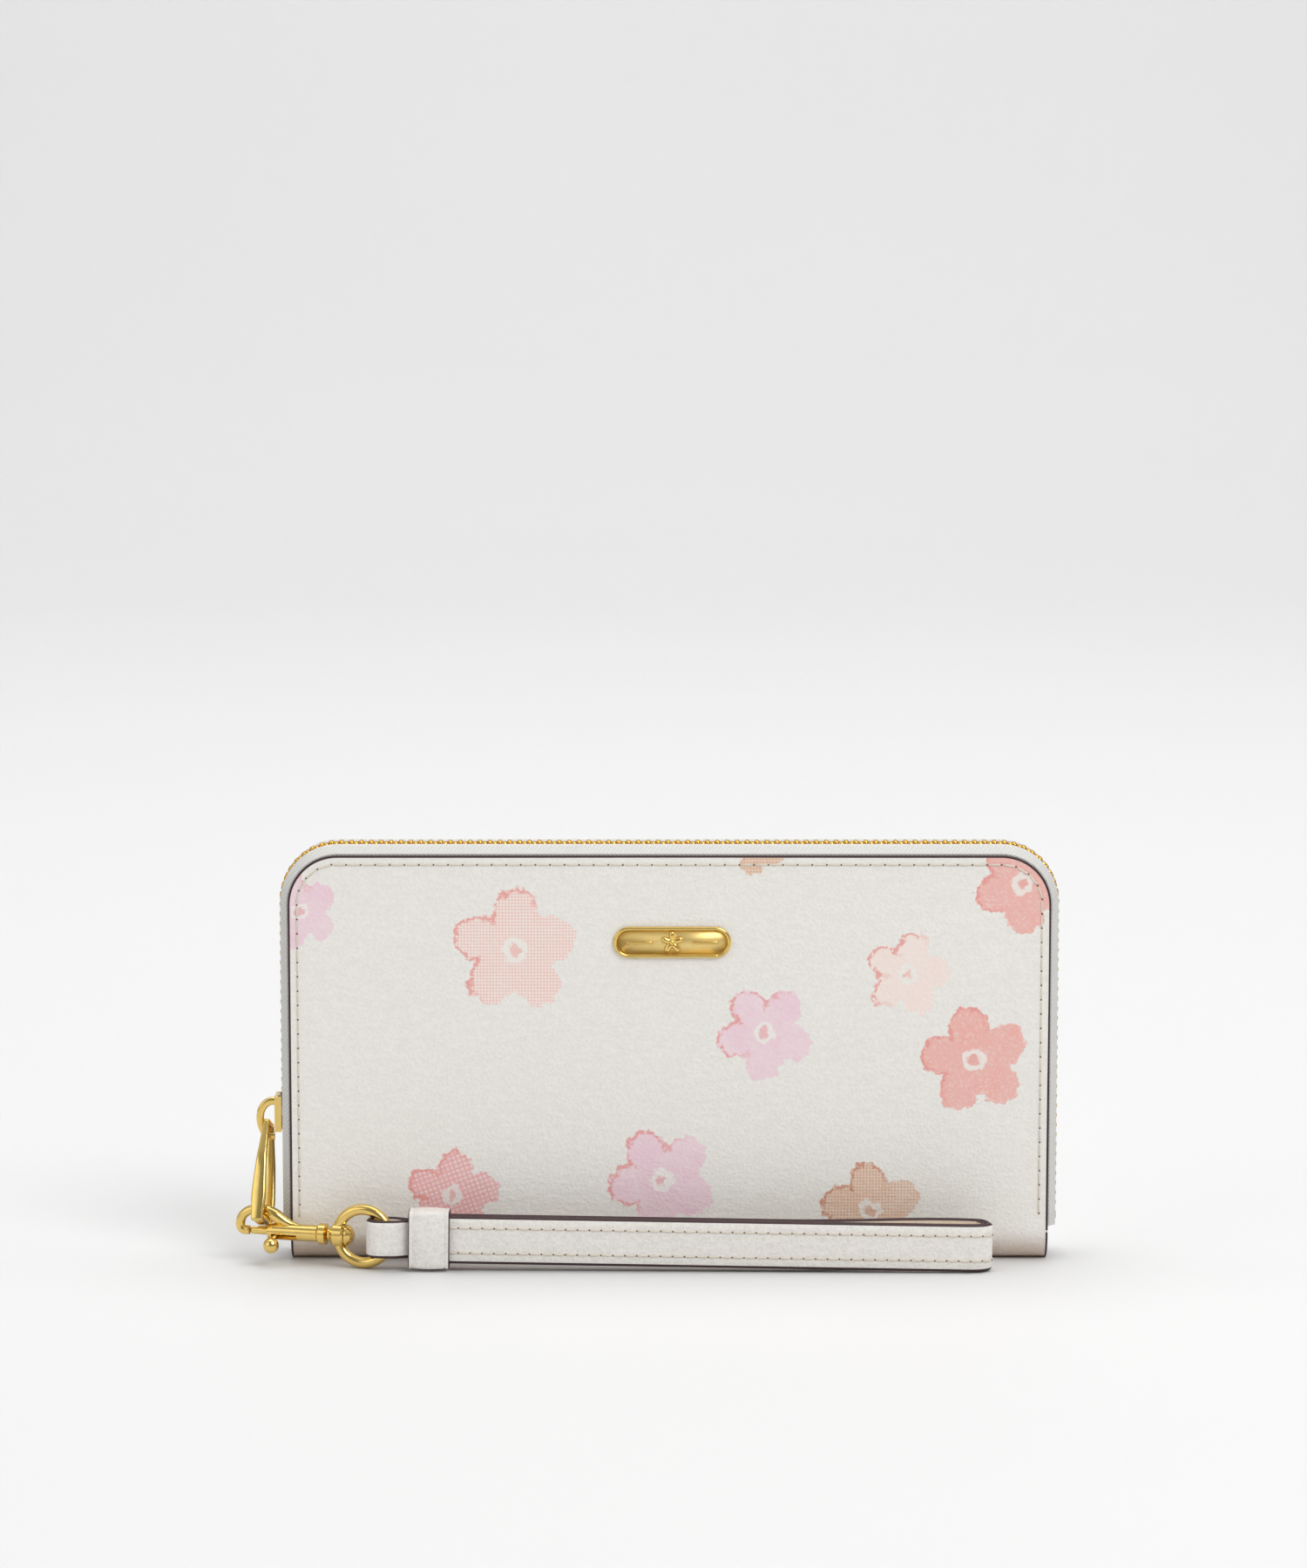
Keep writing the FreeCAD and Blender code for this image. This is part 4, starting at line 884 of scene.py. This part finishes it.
def ribbon(name, path, thick, half_width, skin, node, edge=0.45):
    """A strip of leather on its edge along a path in plan, with painted edges; the dark band at the bottom
    edge is edge paint widened with painted shadow.
    """
    # Edge paint plus painted shadow: the dark paint runs 0.7 mm up the face at the bottom edge, against
    # edge at the top, as shade where the strap meets the table.
    low_paint_and_shadow, face = 0.7, thick / 2
    profile = [(-face, low_paint_and_shadow - half_width), (edge - face, -half_width), (face - edge, -half_width),
               (face, low_paint_and_shadow - half_width), (face, half_width - edge), (face - edge, half_width),
               (edge - face, half_width), (-face, half_width - edge)]
    painted = (True, True, True, False, True, True, True, False)
    rows = 7
    ring = []
    for index, (depth, height) in enumerate(profile):
        ring.append((depth, height, painted[index]))
        if not painted[index]:
            target = profile[(index + 1) % 8]
            for step in range(1, rows):
                ring.append((depth, height + (target[1] - height) * step / rows, False))
    points, faces, numbers = [], [], []
    for index, (x, y) in enumerate(path):
        ahead, behind = path[min(index + 1, len(path) - 1)], path[max(index - 1, 0)]
        dx, dy = ahead[0] - behind[0], ahead[1] - behind[1]
        length = math.hypot(dx, dy)
        for depth, height, _ in ring:
            points.append(strap_point(x - dy / length * depth, y + dx / length * depth, height))
    size = len(ring)
    for index in range(len(path) - 1):
        for k in range(size):
            following = (k + 1) % size
            faces.append((index * size + k, index * size + following, (index + 1) * size + following,
                          (index + 1) * size + k))
            numbers.append(1 if ring[k][2] else 0)
    faces.append(tuple(reversed(range(size))))
    faces.append(tuple(range((len(path) - 1) * size, len(path) * size)))
    numbers += [1, 1]
    made = new_object(name, points, faces, [skin, EDGE_PAINT], numbers)
    finish(made, "strap", [node])


def loop_path(depth):
    """The wrist loop's line in plan, depth in from its outer face."""
    near, far, gap = -2.4 + depth, 2.4 - depth, 5.0
    ends = [(7.0, near), (40.0, near), (80.0, near), (117.0, near), (140.0, near), (146.5, near + 0.05)]
    fold = [(149.8 - depth * 0.5, near + 0.8), (151.8 - depth, near + 2.6), (151.9 - depth, 1.6),
            (150.6 - depth, far + gap - 1.6), (147.5, far + gap - 0.35)]
    back = [(140.0, far + gap), (130.0, far + gap * 0.8), (118.0, far + gap * 0.36), (106.0, far + 0.3),
            (94.0, far), (60.0, far), (30.0, far), (7.0, far)]
    line = smooth_path([Vector((x, y, 0)) for x, y in ends + fold + back], 10)
    return [(point.x, point.y) for point in line]


def strap_stitches():
    """Two rows of thread along the strap's outer face, with the holes between stitches as dark discs of
    painted shade.
    """
    pieces = []
    line = loop_path(0.0)
    margin, pitch, row = 9.0, 3.0, 3.2
    lengths = [0.0]
    for first, second in zip(line, line[1:]):
        lengths.append(lengths[-1] + math.hypot(second[0] - first[0], second[1] - first[1]))
    run, index = margin, 0
    while run < lengths[-1] - margin:
        while lengths[index + 1] < run:
            index += 1
        first, second = line[index], line[index + 1]
        share = (run - lengths[index]) / max(lengths[index + 1] - lengths[index], 1e-6)
        x, y = first[0] + (second[0] - first[0]) * share, first[1] + (second[1] - first[1]) * share
        dx, dy = second[0] - first[0], second[1] - first[1]
        size = math.hypot(dx, dy)
        dx, dy = dx / size, dy / size
        x, y = x + dy * 0.08, y - dx * 0.08
        for height in (-row, row):
            start = strap_point(x - dx * 0.95, y - dy * 0.95, height)
            end = strap_point(x + dx * 0.95, y + dy * 0.95, height)
            pieces.append((*capsule(start, end, 0.25), THREAD))
            normal = (strap_point(x + dy, y - dx, height) - strap_point(x, y, height)).normalized()
            hole = strap_point(x + dx * pitch / 2 + dy * 0.04, y + dy * pitch / 2 - dx * 0.04, height)
            pieces.append((*disc(hole, normal, 0.24), HOLE_SHADE))
        run += pitch
    joined("strap_stitching", pieces, "strap")


def tab_path():
    """The ring tab's line in plan: out from the keeper, round the wire with room to spare, and back."""
    hold, reach = 2.7, -2.35
    line = [(6.9, -0.82), (5.2, -0.95), (3.4, -1.6), (1.6, -2.4), (-0.4, -hold)]
    line += [(reach - hold * math.sin(a), -hold * math.cos(a)) for a in
             [math.radians(18 * k) for k in range(11)]]
    line += [(-0.4, hold), (1.6, 2.4), (3.4, 1.6), (5.2, 0.95), (6.9, 0.82)]
    smooth = smooth_path([Vector((x, y, 0)) for x, y in line], 4)
    return [(point.x, point.y) for point in smooth]


def keeper_band():
    """The leather band round the strap, with pressed lines beside its painted edges."""
    start, length, half_y, half_z, skin = 4.9, 10.4, 2.42, 6.4, 1.35
    stations = [(0.0, -0.25), (0.25, 0.0), (0.9, 0.0), (1.15, -0.2), (1.4, 0.0)]
    stations += [(length / 2 - 1.6, 0.12), (length / 2, 0.16), (length / 2 + 1.6, 0.12)]
    stations += [(length - run, swell) for run, swell in reversed(stations[:5])]
    corner = 0.9

    def outline(grow):
        points = []
        y, z = half_y + skin + grow, half_z + skin * 0.6 + grow
        for cy, cz, first in ((y - corner, z - corner, 0), (-y + corner, z - corner, 1),
                              (-y + corner, -z + corner, 2), (y - corner, -z + corner, 3)):
            for step in range(5):
                angle = math.pi / 2 * (first + step / 4)
                points.append((cy + corner * math.cos(angle), cz + corner * math.sin(angle)))
        return points
    size = 20
    points, faces, numbers = [], [], []
    for run, swell in stations:
        points += [strap_point(start + run, y, z) for y, z in outline(swell)]
    for index in range(len(stations) - 1):
        for k in range(size):
            following = (k + 1) % size
            faces.append((index * size + k, (index + 1) * size + k, (index + 1) * size + following,
                          index * size + following))
            numbers.append(1 if index in (0, len(stations) - 2) else 0)
    inner = []
    for run in (0.0, length):
        inner.append(len(points))
        points += [strap_point(start + run, y * (half_y / (half_y + skin)), z * (half_z / (half_z + skin)))
                   for y, z in outline(0)]
    last_ring = (len(stations) - 1) * size
    for ring_start, inner_start, flip in ((0, inner[0], False), (last_ring, inner[1], True)):
        for k in range(size):
            following = (k + 1) % size
            square = (ring_start + k, ring_start + following, inner_start + following, inner_start + k)
            faces.append(tuple(reversed(square)) if flip else square)
            numbers.append(1)
    for k in range(size):
        following = (k + 1) % size
        faces.append((inner[0] + k, inner[0] + following, inner[1] + following, inner[1] + k))
        numbers.append(0)
    made = new_object("keeper_band", points, faces, [STRAP_SKIN, EDGE_PAINT], numbers)
    finish(made, "strap", ["strap_keeper"])


# ---------------------------------------------------------------- gussets


def gusset(name, sign, node):
    """One accordion end wall, built in its folded shape; the real wall unfolds as the back cover opens."""
    folds = [(93.5, -7.1), (91.0, -5.3), (84.0, -4.3), (92.0, -2.9), (81.0, -1.45), (81.0, 1.45),
             (92.0, 2.9), (84.0, 4.3), (91.0, 5.3), (93.5, 7.1)]
    line = smooth_path([Vector((sign * x, y, 0)) for x, y in folds], 6)
    points, faces = [], []
    rows = 30
    for row in range(rows + 1):
        z = 8.0 + 90.0 * row / rows
        points += [Vector((point.x, point.y, z)) for point in line]
    size = len(line)
    for row in range(rows):
        for k in range(size - 1):
            corner = row * size + k
            faces.append((corner, corner + 1, corner + size + 1, corner + size))
    made = new_object(name, points, faces, [LINING])
    thick = made.modifiers.new("thickness", "SOLIDIFY")
    thick.thickness, thick.offset = 0.3 * MM, 0
    settle(made)
    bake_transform(made)
    finish(made, None, [node])


# ---------------------------------------------------------------- light and table


def studio():
    """A pale table that runs up into its backdrop, under soft light from the right."""
    material, nodes, shader = new_material("pale_table")
    place = nodes.add("ShaderNodeTexCoord")
    cloud = nodes.noise(place.outputs["Object"], 3.0, 2.0)
    nodes.feed(shader.inputs["Base Color"], nodes.mix(cloud, srgb(222, 222, 222), srgb(220, 220, 220)))
    shader.inputs["Roughness"].default_value = 0.55
    profile = [(-3.0, 0.0), (1.6, 0.0)]
    profile += [(1.6 + 1.2 * math.sin(a), 1.2 - 1.2 * math.cos(a)) for a in
                [math.pi / 2 * k / 12 for k in range(1, 13)]]
    profile.append((2.8, 6.0))
    points, faces = [], []
    for x in (-6.0, 6.0):
        points += [Vector((x * 1000, y * 1000, z * 1000)) for y, z in profile]
    size = len(profile)
    for k in range(size - 1):
        faces.append((k, k + 1, size + k + 1, size + k))
    table = new_object("table", points, faces, [material])
    world = bpy.data.worlds.new("soft_room")
    bpy.context.scene.world = world
    world.use_nodes = True
    room = Tree(world.node_tree)
    place = room.add("ShaderNodeTexCoord")
    split = room.add("ShaderNodeSeparateXYZ")
    room.feed(split.inputs[0], place.outputs["Generated"])
    tone = room.mix(room.step(split.outputs["Y"], -0.85, 0.3), (0.34, 0.34, 0.34), (1.0, 1.0, 1.0))
    background = world.node_tree.nodes["Background"]
    room.feed(background.inputs["Color"], tone)
    background.inputs["Strength"].default_value = 0.8
    middle, far = Vector((0, 0, 0.05)), Vector((0, 2.4, 0.3))
    for name, at, aim, size, power in (("key", (1.0, -1.3, 1.7), middle, 1.1, 24.0),
                                       ("fill", (-1.6, -1.2, 0.9), middle, 1.4, 6.0),
                                       ("top", (0.1, 0.3, 2.2), middle, 1.6, 14.0),
                                       ("backdrop", (0.0, 1.2, 2.2), far, 2.4, 26.0)):
        data = bpy.data.lights.new(name, "AREA")
        data.size, data.energy = size, power
        light = bpy.data.objects.new(name, data)
        bpy.context.scene.collection.objects.link(light)
        light.location = at
        light.rotation_euler = (aim - Vector(at)).to_track_quat("-Z", "Y").to_euler()
    bpy.context.scene.view_settings.view_transform = "Standard"


# ---------------------------------------------------------------- the whole object

make_camera()
cover_skin("front_canvas", -1, "shell", "front_panel", PRINT_FRONT)
cover_skin("back_canvas", 1, "back_cover", "back_panel", PRINT_BACK)
spine_skin()
painted_edge("front_edge_paint", -1, "shell")
painted_edge("back_edge_paint", 1, "back_cover")
rim_stitching("front_stitching", -1, "shell")
rim_stitching("back_stitching", 1, "back_cover")
main_teeth("front_teeth", -1, "shell", "zip_teeth_front")
main_teeth("back_teeth", 1, "back_cover", "zip_teeth_back")
coin_teeth("coin_teeth_lower", -1, "coin_zip_teeth_lower")
coin_teeth("coin_teeth_upper", 1, "coin_zip_teeth_upper")
bow()
spring()
bridge()
pull()
emblem()
ribbon("strap_outer", loop_path(0.675), 1.35, STRAP_HALF_WIDTH, STRAP_SKIN, "strap_leather")
ribbon("strap_lining", loop_path(1.86), 1.0, STRAP_HALF_WIDTH - 0.05, STRAP_INSIDE, "strap_inner", 0.3)
ribbon("ring_tab_loop", tab_path(), 1.5, 4.8, STRAP_SKIN, "ring_tab")
keeper_band()
strap_stitches()
gusset("gusset_fold_left", -1, "gusset_left")
gusset("gusset_fold_right", 1, "gusset_right")

CAD_FINISH = {
    "front_stiffener": BOARD, "back_stiffener": BOARD, "spine_lining": LINING, "front_lining": LINING,
    "back_lining": LINING, "coin_pocket_front": LINING, "coin_pocket_back": LINING,
    "coin_pocket_top_band": SLOT_SKIN, "coin_pocket_base": SLOT_SKIN, "coin_pocket_piping": SLOT_SKIN,
    "zip_tape_front": TAPE, "zip_tape_back": TAPE, "coin_zip_tape_lower": TAPE, "coin_zip_tape_upper": TAPE,
    "zip_end_stop": BRASS,
}
for side in ("front", "back"):
    for level in ("upper", "middle", "lower"):
        CAD_FINISH["%s_card_slot_%s" % (side, level)] = SLOT_SKIN
for node in ("coin_zip_slider", "coin_zip_tab", "zip_slider_body", "hook_barrel", "swivel_rivet",
             "gate_bolt", "thumb_knob", "swivel_ring"):
    CAD_FINISH[node] = GOLD
for node, material in CAD_FINISH.items():
    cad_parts[node].data.materials.clear()
    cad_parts[node].data.materials.append(material)

studio()
